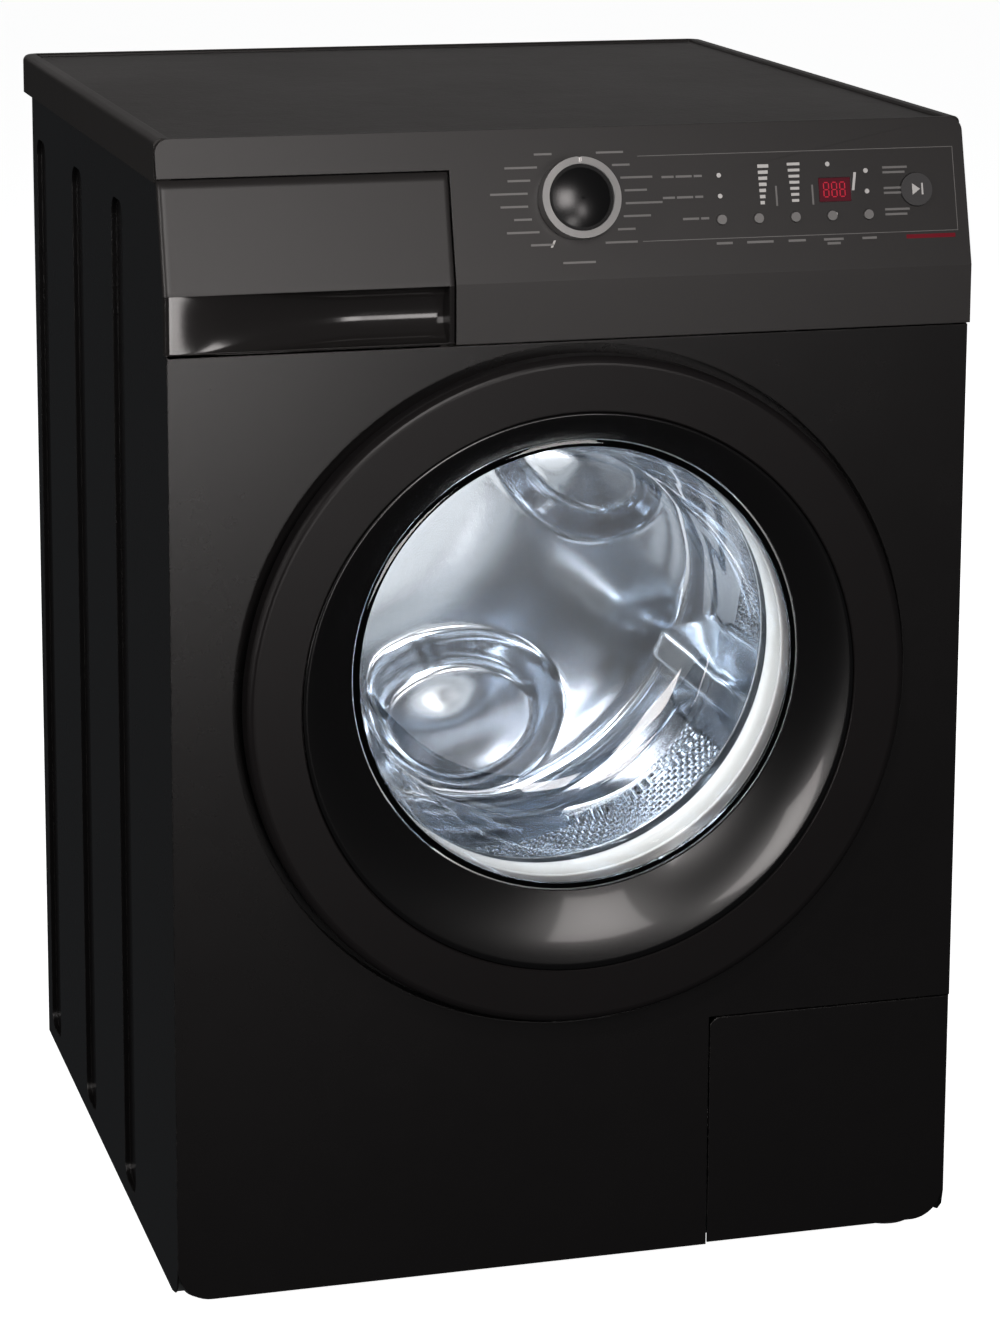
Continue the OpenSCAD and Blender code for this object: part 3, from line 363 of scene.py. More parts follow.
def clear_glass(name, tint, roughness):
    """Clear pressed glass; it lets light through to what is behind it."""
    material = finish(name, tint, roughness, drift=0.02, spread=0.0, grain=(40.0, 0.004))
    tree = material.node_tree
    shader = tree.nodes["Principled BSDF"]
    shader.inputs["Transmission Weight"].default_value = 1.0
    shader.inputs["IOR"].default_value = 1.5
    path = node(tree, "ShaderNodeLightPath")
    through = node(tree, "ShaderNodeBsdfTransparent")
    mix = node(tree, "ShaderNodeMixShader")
    soft = math_node(tree, "MAXIMUM", path.outputs["Is Shadow Ray"], path.outputs["Is Diffuse Ray"])
    link(tree, soft, mix.inputs[0])
    link(tree, shader.outputs[0], mix.inputs[1])
    link(tree, through.outputs[0], mix.inputs[2])
    link(tree, mix.outputs[0], tree.nodes["Material Output"].inputs["Surface"])
    return material


def speckled(name, colour, fleck, scale, roughness):
    """Cast or laminated material with small flecks."""
    material = finish(name, colour, roughness, drift=0.25, grain=(260.0, 0.4))
    tree = material.node_tree
    shader = tree.nodes["Principled BSDF"]
    cells = node(tree, "ShaderNodeTexVoronoi")
    cells.inputs["Scale"].default_value = scale
    link(tree, node(tree, "ShaderNodeTexCoord").outputs["Object"], cells.inputs["Vector"])
    mask = math_node(tree, "LESS_THAN", cells.outputs["Distance"], 0.22)
    mix = node(tree, "ShaderNodeMix", data_type="RGBA")
    link(tree, mask, mix.inputs["Factor"])
    link(tree, shader.inputs["Base Color"].links[0].from_socket, mix.inputs["A"])
    mix.inputs["B"].default_value = (*fleck, 1)
    link(tree, mix.outputs["Result"], shader.inputs["Base Color"])
    return material


def lit(name, colour, glow, strength):
    """A small window or print that is faintly lit."""
    material = finish(name, colour, 0.25, drift=0.1, grain=(700.0, 0.01))
    shader = material.node_tree.nodes["Principled BSDF"]
    shader.inputs["Emission Color"].default_value = (*glow, 1)
    shader.inputs["Emission Strength"].default_value = strength
    return material


FINISH = {
    "case_black": finish("case_enamel", (0.0056, 0.0050, 0.0051), 0.27, grain=(420.0, 0.018),
                         spread=0.04, edge=1.2, worn=((0.05, 0.047, 0.045), 1.0, 0.25)),
    "top_black": finish("worktop_edge", (0.020, 0.018, 0.017), 0.42, grain=(1300.0, 0.05),
                        edge=1.0, specular=0.35),
    "board_black": speckled("worktop_laminate", (0.019, 0.0168, 0.0156), (0.026, 0.0235, 0.022),
                            900.0, 0.46),
    "fascia_black": finish("fascia_plastic", (0.019, 0.0175, 0.0172), 0.40, grain=(1600.0, 0.02),
                           spread=0.04, edge=0.8),
    "display": lit("display_pane", (0.02, 0.003, 0.006), (0.16, 0.008, 0.02), 0.35),
    "circuit": finish("circuit_resist", (0.015, 0.09, 0.035), 0.35, grain=(500.0, 0.08)),
    "housing_grey": finish("dispenser_plastic", (0.55, 0.56, 0.57), 0.42, grain=(1100.0, 0.04)),
    "valve_white": finish("valve_plastic", (0.70, 0.70, 0.66), 0.38, grain=(1000.0, 0.04)),
    "rubber_black": finish("black_rubber", (0.016, 0.016, 0.017), 0.62, grain=(700.0, 0.12),
                           sheen=0.2),
    "gasket_grey": finish("gasket_rubber", (0.74, 0.74, 0.725), 0.34, grain=(600.0, 0.03),
                          sheen=0.15),
    "zinc": finish("galvanised_sheet", (0.60, 0.61, 0.62), 0.42, drift=0.3, spread=0.25,
                   grain=(90.0, 0.03), metallic=1.0, edge=0.8),
    "spring_steel": finish("spring_wire", (0.46, 0.47, 0.49), 0.3, metallic=1.0,
                           grain=(500.0, 0.02)),
    "tray_grey": finish("tray_plastic", (0.60, 0.61, 0.62), 0.34, grain=(1200.0, 0.03)),
    "cap_blue": finish("siphon_plastic", (0.03, 0.10, 0.30), 0.3, grain=(1200.0, 0.03)),
    "door_black": finish("door_plastic", (0.0085, 0.0076, 0.0078), 0.30, grain=(1800.0, 0.008),
                         spread=0.03, specular=0.25),
    "funnel_black": finish("funnel_gloss", (0.0035, 0.0033, 0.0034), 0.21, grain=(300.0, 0.004),
                           spread=0.02, coat=0.3, coat_roughness=0.05),
    "door_glass": clear_glass("porthole_glass", (0.97, 0.985, 0.99), 0.0),
    "tub_plastic": finish("tub_polymer", (0.46, 0.47, 0.46), 0.5, grain=(500.0, 0.15)),
    "concrete": speckled("cast_weight", (0.30, 0.29, 0.27), (0.17, 0.165, 0.155), 160.0, 0.85),
    "motor_steel": finish("motor_paint", (0.09, 0.10, 0.11), 0.45, grain=(500.0, 0.1)),
    "drum_steel": finish("drum_steel", (0.50, 0.53, 0.57), 0.14, drift=0.05, spread=0.05,
                         metallic=1.0, grain=(300.0, 0.006)),
    "lifter_plastic": finish("lifter_shell", (0.60, 0.64, 0.68), 0.22, drift=0.05, metallic=1.0,
                             grain=(500.0, 0.008)),
    "cast_aluminium": finish("cast_spider", (0.40, 0.41, 0.42), 0.48, metallic=1.0,
                             grain=(350.0, 0.2)),
    "knob_black": finish("knob_gloss", (0.005, 0.005, 0.0052), 0.25, grain=(900.0, 0.003),
                         spread=0.02),
    "knob_silver": finish("knob_satin_chrome", (0.45, 0.445, 0.44), 0.30, metallic=1.0,
                          brushed=(60.0, 60.0, 60.0), grain=(900.0, 0.004)),
    "button_grey": finish("button_plastic", (0.055, 0.054, 0.055), 0.28, grain=(1500.0, 0.01)),
    "cavity_grey": finish("base_polymer", (0.09, 0.10, 0.10), 0.52, grain=(600.0, 0.15)),
    "heater_steel": finish("heater_sheath", (0.38, 0.36, 0.33), 0.34, metallic=1.0,
                           grain=(600.0, 0.03)),
}
GLOSS = finish("grip_gloss", (0.013, 0.012, 0.0118), 0.13, grain=(1600.0, 0.006), spread=0.02,
               specular=0.6)
PRINT = finish("panel_print", (0.15, 0.146, 0.143), 0.5, grain=(2000.0, 0.005))
PRINT_BRIGHT = finish("panel_print_bright", (0.50, 0.49, 0.48), 0.45, grain=(2000.0, 0.005))
KEY = finish("option_key", (0.17, 0.166, 0.163), 0.32, grain=(1500.0, 0.01))
PRINT_RED = lit("panel_print_red", (0.12, 0.006, 0.012), (0.20, 0.008, 0.02), 0.15)

slot_of = {s["node"]: s["material_slot"] for s in frame["record"]["subparts"]}
for name, obj in nodes.items():
    obj.data.materials.clear()
    obj.data.materials.append(KEY if name.startswith("option_button") else FINISH[slot_of[name]])

# ---------------------------------------------------------------- drum


def back_relief(r, angles):
    """How far the drum's back stands forward: three oval lobes with wide flanks."""
    height = np.zeros(len(angles))
    for centre in LOBE_ANGLES:
        turn = angles - math.radians(centre)
        out = np.hypot((r * np.cos(turn) - LOBE_MID) / LOBE_REACH, r * np.sin(turn) / LOBE_HALF)
        flank = LOBE_RISE * smoothstep((1 - out) / 0.42)
        crown = LOBE_CROWN * smoothstep((0.6 - out) / 0.6)
        height = np.maximum(height, flank + crown)
    return height


def build_drum():
    """Drum: rolled mouth, perforated wall, beaded rear band and a pressed back."""
    around = 360
    holes, hole_rows, pitch, hole_r = 180, 22, 8.0, 1.75
    inner = DRUM_R - 1.2
    mouth, front_d = 171.2, 84.0
    rear_d = 408.8
    angles = np.linspace(0, 2 * math.pi, around, endpoint=False)
    wall = Shape()

    def ring(r, d):
        return [(r * math.cos(a), depth(d), DRUM_Z + r * math.sin(a)) for a in angles]

    lip = [(mouth, front_d - 4), (mouth, front_d - 1), (mouth + 0.8, front_d + 0.8),
           (mouth + 3, front_d + 1.4), (inner - 30, front_d + 1.4), (inner - 24, front_d + 3.4),
           (inner - 18, front_d + 3.4), (inner - 12, front_d + 1.6)]
    lip += [(inner - 10 + 10 * math.sin(t), front_d + 11.6 - 10 * math.cos(t))
            for t in np.linspace(0, math.pi / 2, 7)]
    band_start = front_d + 28
    wall.grid([ring(r, d) for r, d in lip + [(inner, band_start)]], loop=True)
    step = 2 * math.pi / holes
    for j in range(hole_rows):
        d0 = band_start + j * pitch
        shift = 0.5 * (j % 2)
        for i in range(holes):
            a0 = (i + shift) * step
            outer = [(0, 0), (0.5, 0), (1, 0), (1, 0.5), (1, 1), (0.5, 1), (0, 1), (0, 0.5)]
            verts = [(a0 + u * step, d0 + v * pitch) for u, v in outer]
            for k in range(8):
                t = math.radians(225 + 45 * k)
                verts.append((a0 + step / 2 + hole_r / inner * math.cos(t),
                              d0 + pitch / 2 + hole_r * math.sin(t)))
            wall.add([(inner * math.cos(a), depth(d), DRUM_Z + inner * math.sin(a))
                      for a, d in verts],
                     [(k, (k + 1) % 8, 8 + (k + 1) % 8, 8 + k) for k in range(8)])
    band_end = band_start + hole_rows * pitch
    beads = []
    for d in np.arange(band_end, rear_d - 12, 3.0):
        rise = sum(4.0 * math.exp(-((d - c) / 4.5) ** 2) for c in (335.0, 378.0))
        beads.append((inner - rise, d))
    beads[0] = (inner, band_end)
    corner = [(inner - 12 + 12 * math.cos(t), rear_d - 12 + 12 * math.sin(t))
              for t in np.linspace(0, math.pi / 2, 8)]
    wall.grid([ring(r, d) for r, d in beads + corner], loop=True)
    rows = []
    for r in np.linspace(inner - 12, 6, 62):
        rise = back_relief(r, angles)
        rows.append([(r * math.cos(a), depth(rear_d - h), DRUM_Z + r * math.sin(a))
                     for a, h in zip(angles, rise)])
    wall.grid(rows, loop=True)
    wall.add(rows[-1], [tuple(range(around))])
    drum = piece("drum_pressed", wall.verts, wall.faces, FINISH["drum_steel"],
                 "drum", smooth=50)
    weld(drum, 0.02)
    thicken = drum.modifiers.new("sheet", "SOLIDIFY")
    thicken.thickness = 1.0 * MM
    thicken.offset = 1.0
    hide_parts("drum_shell")


def weld(obj, gap):
    """Joins points closer than gap millimetres and turns the faces the same way."""
    mesh = bmesh.new()
    mesh.from_mesh(obj.data)
    bmesh.ops.remove_doubles(mesh, verts=mesh.verts, dist=gap * MM)
    bmesh.ops.recalc_face_normals(mesh, faces=mesh.faces)
    mesh.to_mesh(obj.data)
    mesh.free()


def soft_run(name, shape, slot, gap=0.001, sharp=50):
    """A flexible piece that runs between the cabinet and the tub, made as a welded, smooth mesh."""
    mesh = bpy.data.meshes.new(name)
    mesh.from_pydata([tuple(c * MM for c in v) for v in shape.verts], [], shape.faces)
    obj = bpy.data.objects.new(name, mesh)
    bpy.context.scene.collection.objects.link(obj)
    mesh.materials.append(FINISH[slot])
    weld(obj, gap)
    mesh.shade_smooth()
    if sharp:
        mesh.set_sharp_from_angle(angle=math.radians(sharp))
    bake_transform(obj)
    return obj


def build_lifters():
    """Three smooth paddles on the drum's wall."""
    d0, d1, half, rise, end_r = 112.0, 384.0, 46.0, 44.0, 62.0
    base = DRUM_R - 1.4
    lifters = Shape()
    depths = np.linspace(d0, d1, 49)
    spread = np.linspace(-1, 1, 29)
    for centre in LIFTER_ANGLES:
        top, under = [], []
        for d in depths:
            past_end = max(0.0, (abs(d - (d0 + d1) / 2) - ((d1 - d0) / 2 - end_r)) / end_r)
            end = math.sqrt(max(0.0, 1 - past_end ** 2))
            top.append([])
            under.append([])
            for t in spread:
                a = math.radians(centre) + t * half * (0.2 + 0.8 * end) / base
                h = rise * end * float(smoothstep((1 - abs(t)) / 0.78)) ** 0.9
                for row, r in ((top, base - h), (under, base)):
                    row[-1].append((r * math.cos(a), depth(d), DRUM_Z + r * math.sin(a)))
        lifters.grid(top)
        lifters.grid(under)
    obj = piece("drum_paddles", lifters.verts, lifters.faces, FINISH["lifter_plastic"],
                "drum", smooth=60)
    weld(obj, 0.01)
    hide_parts("drum_lifters")


# ---------------------------------------------------------------- door and gasket


def build_door():
    """Funnel between the ring and the glass, and the pressed glass bowl."""
    around = 256
    angles = np.linspace(0, 2 * math.pi, around, endpoint=False)
    rim_r, sight_r = 205.9, 168.0
    rim_d, sight_d = -20.0, -6.0

    def hoop(t, inset):
        """Ring part way from the front rim to the glass; inset is the skin's thickness."""
        r = rim_r + (sight_r - rim_r) * t - inset
        d = rim_d + (sight_d - rim_d) * (0.35 * t + 0.65 * t ** 1.6)
        z = DOOR_Z + (DRUM_Z - DOOR_Z) * t
        return [(r * math.cos(a), depth(d + (0 if inset else 2.4)), z + r * math.sin(a))
                for a in angles]

    funnel = Shape()
    stations = np.linspace(0, 1, 13)
    front = [hoop(t, 0.6) for t in stations]
    back = [hoop(t, 0.0) for t in stations[::-1]]
    funnel.grid(front + back + [front[0]], loop=True)
    obj = piece("door_inner_funnel", funnel.verts, funnel.faces, FINISH["funnel_black"],
                "door", smooth=50)
    weld(obj, 0.01)
    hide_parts("door_funnel")

    flange = -5.9
    wall = 3.6
    outer = curve_through(
        [(165.4, 0), (164.4, 12), (162, 30), (157, 55), (150, 80), (143, 96), (130, 107),
         (108, 111.6), (80, 112), (40, 112), (4, 112)], 5)
    along = np.gradient(np.array(outer), axis=0)
    along /= np.linalg.norm(along, axis=1)[:, None]
    inside = [(r - wall * t[1], d + wall * t[0]) for (r, d), t in zip(outer, along)]
    profile = ([(178, flange), (178, flange + wall), (166, flange + wall + 0.3)] + outer
               + [(0.5, 112), (0.5, 112 - wall)] + inside[::-1] + [(161.8, flange)])
    bowl = Shape().turned(profile, steps=192)
    obj = piece("porthole_bowl", bowl.verts, bowl.faces, FINISH["door_glass"],
                "door", smooth=50)
    weld(obj, 0.005)
    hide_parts("door_glass")


def build_gasket():
    """Bellows that joins the front panel to the tub."""
    outside = curve_through([(166, 23), (171, 27), (175, 31), (184, 36), (190, 44), (184, 51),
                             (172, 54), (169, 60), (172, 66), (179.8, 67.5)], 4)
    inside = curve_through([(179.8, 64), (175, 62.4), (172.8, 60), (175, 57), (187, 55),
                            (194, 44), (188, 34), (187, 31), (187, 17)], 4)
    lip = [(180, 17), (180, 26.2)] + curve_through([(176, 25.4), (170, 21), (166, 18.6),
                                                    (165.2, 20.6)], 3)
    shape = Shape().turned(outside + inside + lip, steps=192)
    gasket = soft_run("gasket_bellows", shape, "gasket_grey",
                      gap=0.01, sharp=None)
    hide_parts("door_gasket")


# ---------------------------------------------------------------- drawer


def build_drawer_front():
    """Drawer front: leaning face above, scooped fingertip grip below."""
    x0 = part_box("drawer_front")[0].x / MM
    x1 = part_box("drawer_front")[1].x / MM
    low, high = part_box("drawer_front")[0].z / MM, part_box("drawer_front")[1].z / MM
    skin, round_r = 2.4, 4.0
    scoop_z, scoop_h, scoop_d = 724.0, 20.0, 18.0
    scoop_x0, scoop_run, scoop_x1 = x0 + 9, 135.0, x1 - 4
    columns = list(x0 + round_r * (1 - np.cos(np.linspace(0, math.pi / 2, 7))))
    columns += list(np.linspace(x0 + round_r + 2, scoop_x1 - 0.6, 70))
    columns += [scoop_x1, scoop_x1 + 0.3, x1 - 1.0, x1 - 0.3, x1]
    heights = list(np.linspace(high, SLOPE_Z + 4, 12))
    heights += [SLOPE_Z + 4 - 4.6 * t for t in (0.25, 0.5, 0.75, 1.0)]
    phis = list(np.linspace(0, math.pi, 33))

    def face(z):
        if z >= SLOPE_Z + 2:
            return (z - SLOPE_Z) * SLOPE_RUN / (TOP - SLOPE_Z)
        t = max(0.0, (z - SLOPE_Z + 2) / 4)
        return 0.5 * t * t * 4 * SLOPE_RUN / (TOP - SLOPE_Z)

    def edge(x):
        back = 0.0
        if x < x0 + round_r:
            back = round_r - math.sqrt(max(0.0, round_r ** 2 - (x0 + round_r - x) ** 2))
        if x > x1 - 1.0:
            back = 0.7 * (x - x1 + 1.0)
        return back

    def grip(x):
        if x > scoop_x1:
            return 0.0
        return scoop_d * float(smoothstep((x - scoop_x0) / scoop_run))

    rows = [[(x, depth(face(z) + edge(x)), z) for x in columns] for z in heights]
    for phi in phis:
        z = scoop_z + scoop_h * math.cos(phi)
        rows.append([(x, depth(edge(x) + grip(x) * math.sin(phi) ** 0.9), z) for x in columns])
    rows.append([(x, depth(edge(x)), low) for x in columns])
    shape = Shape().grid(rows)
    front = piece("drawer_face", shape.verts, shape.faces, FINISH["fascia_black"],
                  "drawer", smooth=35)
    weld(front, 0.005)
    front.data.update()
    middle = min(front.data.polygons, key=lambda f: abs(f.center.x - (x0 + x1) / 2 * MM)
                 + abs(f.center.z - (high + SLOPE_Z) / 2 * MM))
    thicken = front.modifiers.new("skin", "SOLIDIFY")
    thicken.thickness = skin * MM
    thicken.offset = -1.0 if middle.normal.y < 0 else 1.0
    front.data.materials.append(GLOSS)
    for polygon in front.data.polygons:
        if polygon.center.z < (scoop_z + scoop_h) * MM and polygon.center.z > (low + 1) * MM:
            polygon.material_index = 1
    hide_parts("drawer_front")
    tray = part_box("drawer_tray")
    brackets = Shape()
    for x in (tray[0].x / MM + 4, tray[1].x / MM - 7):
        outline = [(face(750) + 2.2, 750), (24, 750), (24, 796), (face(796) + 2.2, 796)]
        brackets.plate(outline, lambda a, b, h, x=x: (x + h, depth(a), b), 3)
    piece("drawer_brackets", brackets.verts, brackets.faces, FINISH["fascia_black"],
          "drawer", smooth=0)


# ---------------------------------------------------------------- print and lamps on the fascia


PRINT_THICK = 0.12
BUTTON_FACE = 1.61


def on_face(a, b, h):
    """Place on the leaning face, a hair in front of it."""
    return on_slope(a, b, h + 0.03)


def bar(shape, x0, s0, x1, s1, lean=0.0):
    """A printed bar on the leaning face; lean shifts its top sideways."""
    shape.plate([(x0, s0), (x1, s0), (x1 + lean, s1), (x0 + lean, s1)], on_face, PRINT_THICK)


def sunk_bar(shape, x0, s0, x1, s1):
    """A segment of the display, just under the fascia's face."""
    shape.plate([(x0, s0), (x1, s0), (x1, s1), (x0, s1)],
                lambda a, b, h: on_slope(a, b, h - 0.12), 0.1)


def build_prints():
    """Generic marks only: plain dashes, scales and a frame line, with no lettering."""
    dim, bright, red = Shape(), Shape(), Shape()
    low, high, left, right = 25.3, 86.4, 49.0, 289.0
    for s in (low, high):
        bar(dim, left, s, right, s + 0.45)
    bar(dim, right, low, right + 0.45, high + 0.45)
    for row, (s, x0) in enumerate(((71, 66), (56, 66), (40.4, 80))):
        for k, length in enumerate((9, 12, 6)[row // 2:]):
            start = x0 + sum((9, 12, 6)[row // 2:][:k]) + 1.6 * k
            bar(dim, start, s - 0.8, start + length, s + 0.8)
    for k in range(7):
        s = 49 + 4.4 * k
        bar(bright, 139.2 - 0.1 * k, s, 142.4 + 0.75 * k, s + 2.4)
        bar(bright, 163.2 - 0.35 * k, s + 1, 168.6 + 0.35 * k, s + 3.0)
    for x in (151.0, 178.6):
        bar(dim, x, 47.5, x + 1.3, 62)
    bar(bright, 209.4, 57, 211.4, 70, lean=2.2)
    bar(bright, 190.6, 39.6, 197.2, 41.2)
    for s in (40.4, 56, 71):
        for k, length in enumerate((17, 19)):
            bar(dim, 234, s - 2.6 + 3.6 * k, 234 + length, s - 1.0 + 3.6 * k)
    for k, (x, length) in enumerate(zip((110, 137, 165, 193, 220.5), (12, 20, 13, 15, 11))):
        bar(dim, x - length / 2, 21.2, x + length / 2, 22.9)
        if k == 3:
            bar(dim, x - 5, 18.2, x + 5, 19.9)
    bar(red, 249, 20.4, 287, 23.4)
    knob_x, knob_s, reach = 2.0, 57.0, 37.0
    for side in (-1, 1):
        for k in range(8):
            rise = 33.0 - 9.2 * k
            start = knob_x + side * math.sqrt(max(0.0, reach ** 2 - rise ** 2)) * 0.98
            length = 13.0 + 3.6 * ((3 * k + (0 if side < 0 else 2)) % 5)
            x0, x1 = sorted((start, start + side * length))
            bar(dim, x0, knob_s + rise - 0.75, x1, knob_s + rise + 0.75)
    bar(dim, -11, knob_s - 45.5, 13, knob_s - 44.0)
    bar(bright, -19.5, knob_s - 33.5, -17.9, knob_s - 28.5, lean=2.6)
    lamps = Shape()
    for x, s in ((109, 71), (109, 56), (221, 71), (221, 56), (192, 76.6)):
        lamps.plate(disc(x, s, 1.7), lambda a, b, h: on_slope(a, b, h - 1.6), 1.75)
    for name, shape, material, slot in (
            ("panel_dashes", dim, PRINT, "fascia_black"),
            ("panel_scales", bright, PRINT_BRIGHT, "fascia_black"),
            ("panel_red_bar", red, PRINT_RED, "display"),
            ("panel_lamps", lamps, PRINT_BRIGHT, "button_grey")):
        piece(name, shape.verts, shape.faces, material, "cabinet", smooth=0)

    digits = Shape()
    x0 = 196.5 - 8.6
    for k in range(3):
        left = x0 + 6.2 * k
        for s in (52.4, 57.6, 62.8):
            sunk_bar(digits, left + 0.6, s, left + 3.4, s + 0.8)
        for x in (left - 0.3, left + 3.5):
            for s in (53.4, 58.6):
                sunk_bar(digits, x, s, x + 0.8, s + 4.0)
    piece("display_segments", digits.verts, digits.faces, lit("segments_red", (0.3, 0.01, 0.02),
          (0.55, 0.02, 0.05), 0.45), "cabinet", smooth=0)

    mark = Shape()
    for outline in ([(255.5, 52.0), (261.5, 56.2), (255.5, 60.4)],
                    [(262.6, 52.0), (263.9, 52.0), (263.9, 60.4), (262.6, 60.4)]):
        mark.plate(outline, lambda a, b, h: on_slope(a, b, h + BUTTON_FACE), PRINT_THICK)
    piece("start_mark", mark.verts, mark.faces, PRINT_BRIGHT, "start", smooth=0)


# ---------------------------------------------------------------- hidden runs: springs and hoses


def build_springs_and_hoses():
    """Coil springs with their end runs, the ribbed fill bellows and three smooth hoses."""
    turns, steps, coil_r, wire_r = 15, 20, 11.0, 1.7
    z0, z1, d = 656.0, 782.0, 275.0
    springs = Shape()
    for x in (-256.0, 256.0):
        coil = [(x, depth(d), z0 - 7), (x, depth(d), z0 - 5), (x + coil_r * 0.6, depth(d), z0 - 3)]
        coil += [(x + coil_r * math.cos(2 * math.pi * i / steps),
                  depth(d) + coil_r * math.sin(2 * math.pi * i / steps),
                  z0 + (z1 - z0) * i / (turns * steps)) for i in range(turns * steps + 1)]
        coil += [(x + coil_r * 0.6, depth(d), z1 + 3), (x, depth(d), z1 + 5), (x, depth(d), z1 + 7)]
        springs.tube(coil, wire_r, 10, ref=(0.05, 0.02, 1))
    obj = soft_run("tub_springs", springs, "spring_steel")
    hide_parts("suspension_springs")

    fill = Shape()
    rings = [(14.3, 690), (17, 690), (17, 694)]
    for k in range(6):
        rings += [(17 + 3 * math.sin(math.pi * t) ** 2, 694 + 5.0 * (k + t))
                  for t in (0.15, 0.3, 0.5, 0.7, 0.85, 1.0)]
    rings += [(17, 728), (14.3, 728), (14.3, 690)]
    fill.grid([[(-150 + r * math.cos(a), depth(150) + r * math.sin(a), z)
                for a in np.linspace(0, 2 * math.pi, 48, endpoint=False)] for r, z in rings],
              loop=True)
    fill_hose = soft_run("fill_bellows", fill, "rubber_black")
    sump = [(-10, 225, 167.8), (-10, 225, 158), (-10, 225, 148), (4, 206, 112), (30, 150, 86),
            (60, 94, 78), (88, 70, 78), (105, 70, 78), (121.8, 70, 78)]
    drain = [(194, 109, 136.2), (194, 109, 146), (194, 109, 156), (220, 140, 178),
             (262, 210, 150), (268, 330, 122), (256, 450, 120), (232, 510, 120),
             (225, 545, 120), (225, 560, 120), (225, 577, 120)]
    valve = [(-235, 503.3, 765), (-235, 492, 765), (-235, 480, 765), (-236, 430, 778),
             (-228, 350, 794), (-225, 300, 795), (-225, 286, 795), (-225, 272.2, 795)]

    def run(points, radius, ref):
        path = curve_through([(x, depth(d), z) for x, d, z in points], 8)
        return Shape().tube(path, radius, 20, ref)

    soft_run("sump_hose", run(sump, 14.9, (1, 1, 0)), "rubber_black")
    for name, path, radius, ref in (("drain_hose", drain, 10.9, (1, -0.3, 0.4)),
                                    ("valve_hose", valve, 6.9, (0, 0, 1))):
        hose = run(path, radius, ref)
        obj = piece(name, hose.verts, hose.faces, FINISH["rubber_black"],
                    "cabinet")
        weld(obj, 0.001)
    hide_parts("inner_hoses")


# ---------------------------------------------------------------- back of the machine


def build_rear_fixings():
    """Pan-head screws round the rear panel and its cover, and four transit plugs."""
    """Pan-head screws of the rear panel and cover, and the transit hole plugs."""
    panel_d = (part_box("rear_panel")[1].y / MM) - FRONT
    cover_d = panel_d + 1.2
    heads, recess_shade = Shape(), Shape()

    def screw(x, z, d, r=4.0):
        profile = [(0.01, 2.4), (1.6, 2.35), (3.0, 1.8), (r, 0.4), (r, 0.0), (0.01, 0.0)]
        heads.turned([(a * r / 4.0, d + b) for a, b in profile], x, z, steps=20)
        # painted shade: each cross recess is a black box on the head, standing in for the shade
        # inside a hollow recess
        for half_w, half_h in ((2.1, 0.45), (0.45, 2.1)):
            recess_shade.box((x - half_w, depth(d + 2.2), z - half_h),
                      (x + half_w, depth(d + 2.5), z + half_h))

    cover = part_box("service_cover")
    for x in (cover[0].x / MM + 7, cover[1].x / MM - 7):
        for z in (302, DRUM_Z, 628):
            screw(x, z, cover_d)
    for x in (-280, 280):
        for z in (40, 200, 380, 560, 740):
            screw(x, z, panel_d)
    for x in (-180, -60, 60, 180):
        screw(x, 30, panel_d)
        screw(x, 780, panel_d)
    piece("rear_screws", heads.verts, heads.faces, FINISH["spring_steel"],
          "cabinet", smooth=40)
    # painted shade for the screws' cross recesses, drawn as black boxes rather than hollows
    piece("rear_screw_recess_shade", recess_shade.verts, recess_shade.faces, FINISH["rubber_black"],
          "cabinet", smooth=0)
    plugs = Shape()
    for x, z in ((-150, 225), (150, 225), (-165, 715), (165, 715)):
        plugs.turned([(0.01, panel_d + 2), (9, panel_d + 2), (10, panel_d + 3.4),
                      (15, panel_d + 3.4), (17, panel_d + 1.5), (17, panel_d), (0.01, panel_d)],
                     x, z, steps=40)
    piece("transit_plugs", plugs.verts, plugs.faces, FINISH["cavity_grey"],
          "cabinet", smooth=40)


build_drum()
build_lifters()
build_door()
build_gasket()
build_drawer_front()
build_prints()
build_springs_and_hoses()
build_rear_fixings()

# ---------------------------------------------------------------- studio


def soft_light(name, place, target, width, height, power, colour=(1, 1, 1), glossy=True):
    """A soft box at place that faces target."""
    data = bpy.data.lights.new(name, "AREA")
    data.shape = "RECTANGLE"
    data.size, data.size_y = width, height
    data.energy = power
    data.color = colour
    light = bpy.data.objects.new(name, data)
    bpy.context.scene.collection.objects.link(light)
    light.location = place
    light.rotation_euler = (Vector(target) - Vector(place)).to_track_quat("-Z", "Y").to_euler()
    light.visible_camera = False
    light.visible_glossy = glossy
    return light


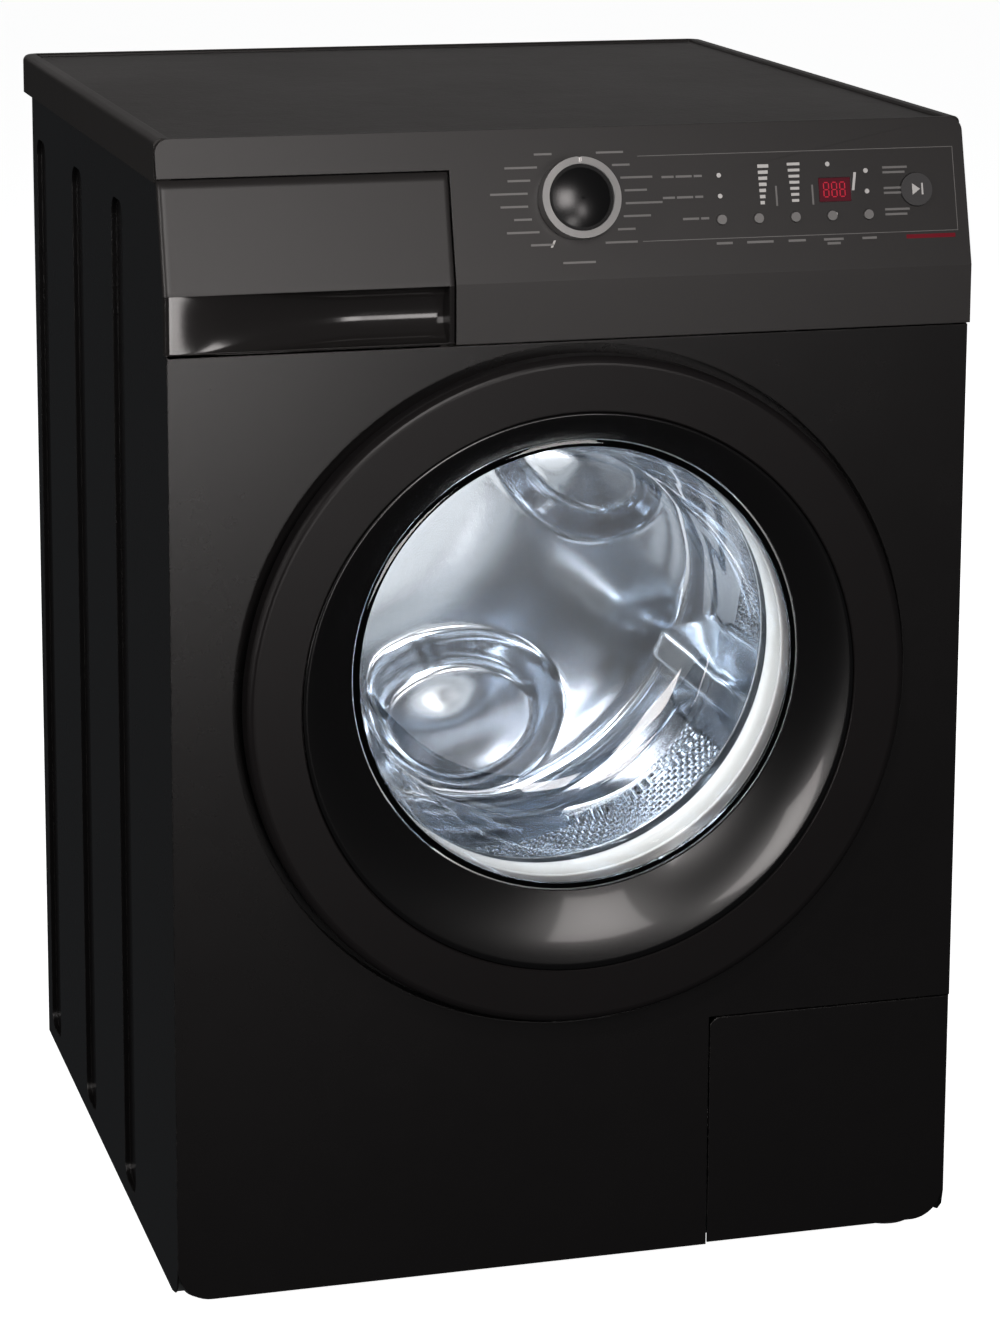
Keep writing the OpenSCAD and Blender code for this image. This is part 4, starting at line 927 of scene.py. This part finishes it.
def build_studio():
    """Pale floor, white surround and soft boxes."""
    world = bpy.data.worlds.new("studio")
    bpy.context.scene.world = world
    world.use_nodes = True
    tree = world.node_tree
    background = tree.nodes["Background"]
    seen = node(tree, "ShaderNodeBackground")
    seen.inputs["Color"].default_value = (1, 1, 1, 1)
    seen.inputs["Strength"].default_value = 1.0
    background.inputs["Color"].default_value = (0.75, 0.8, 0.85, 1)
    background.inputs["Strength"].default_value = 0.035
    path = node(tree, "ShaderNodeLightPath")
    mix = node(tree, "ShaderNodeMixShader")
    link(tree, path.outputs["Is Camera Ray"], mix.inputs[0])
    link(tree, background.outputs[0], mix.inputs[1])
    link(tree, seen.outputs[0], mix.inputs[2])
    link(tree, mix.outputs[0], tree.nodes["World Output"].inputs["Surface"])

    floor_mesh = bpy.data.meshes.new("floor")
    half = 12.0
    floor_mesh.from_pydata([(-half, -half, 0), (half, -half, 0), (half, half, 0), (-half, half, 0)],
                           [], [(0, 1, 2, 3)])
    floor = bpy.data.objects.new("floor", floor_mesh)
    bpy.context.scene.collection.objects.link(floor)
    pale = finish("pale_floor", (0.86, 0.86, 0.86), 0.9, drift=0.01, spread=0.0,
                  grain=(40.0, 0.01), specular=0.1)
    shader = pale.node_tree.nodes["Principled BSDF"]
    shader.inputs["Emission Color"].default_value = (1, 1, 1, 1)
    shader.inputs["Emission Strength"].default_value = 0.95
    floor_mesh.materials.append(pale)
    floor.visible_glossy = False
    floor.visible_diffuse = False

    warm = (1.0, 0.955, 0.94)
    soft_light("key_left", (-0.42, -3.6, 2.0), (0, -0.3, 0.65), 1.2, 1.3, 48, warm)
    soft_light("funnel_light", (0.85, -3.6, 1.0), (0, -0.3, 0.4), 0.5, 0.75, 9, warm)
    soft_light("low_front", (0.1, -3.6, 0.2), (0, -0.3, 0.5), 0.7, 0.38, 7.5, warm)
    soft_light("left_strip", (-3.0, -1.2, 1.4), (0, 0, 0.6), 0.4, 2.2, 34, warm)
    soft_light("overhead", (-0.4, 0.2, 3.2), (0, 0, 0.8), 2.4, 2.4, 14, warm, glossy=False)
    soft_light("rear_glow", (0.9, 4.2, 1.5), (0, 0, 0.8), 4.0, 1.2, 6, warm)
    soft_light("rear_left", (-2.6, 2.4, 1.2), (0, 0, 0.5), 1.2, 1.2, 20, glossy=False)
    soft_light("rear_right", (2.6, 2.4, 0.75), (0, 0, 0.5), 1.2, 1.2, 20)
    soft_light("drum_glow", (-0.03, depth(96) * MM, (DRUM_Z + 140) * MM),
               (0.06, depth(330) * MM, (DRUM_Z - 40) * MM), 0.16, 0.06, 1.5, (0.88, 0.94, 1.0))
    soft_light("crescent_glow", (-0.12, -0.9, 0.92), (0.12, depth(30) * MM, 0.33), 0.12, 0.12, 1.6,
               warm, glossy=False)


def build_camera():
    """Low three-quarter view from the front left."""
    yaw, pitch, roll = math.radians(16.09), math.radians(10.83), math.radians(0.33)
    forward = Vector((math.sin(yaw) * math.cos(pitch), math.cos(yaw) * math.cos(pitch),
                      -math.sin(pitch)))
    right = Vector((math.cos(yaw), -math.sin(yaw), 0))
    up = right.cross(forward)
    right, up = (right * math.cos(roll) + up * math.sin(roll),
                 up * math.cos(roll) - right * math.sin(roll))
    data = bpy.data.cameras.new("camera")
    data.lens = 103.9
    data.sensor_width = 36
    data.shift_x = -0.0223
    data.shift_y = -0.205
    camera = bpy.data.objects.new("camera", data)
    bpy.context.scene.collection.objects.link(camera)
    turn = Matrix((right, up, -forward)).transposed().to_4x4()
    camera.matrix_world = Matrix.Translation((-0.7831, -2.8955, 1.1787)) @ turn
    bpy.context.scene.camera = camera


build_camera()
build_studio()
bpy.context.scene.view_settings.view_transform = "Standard"
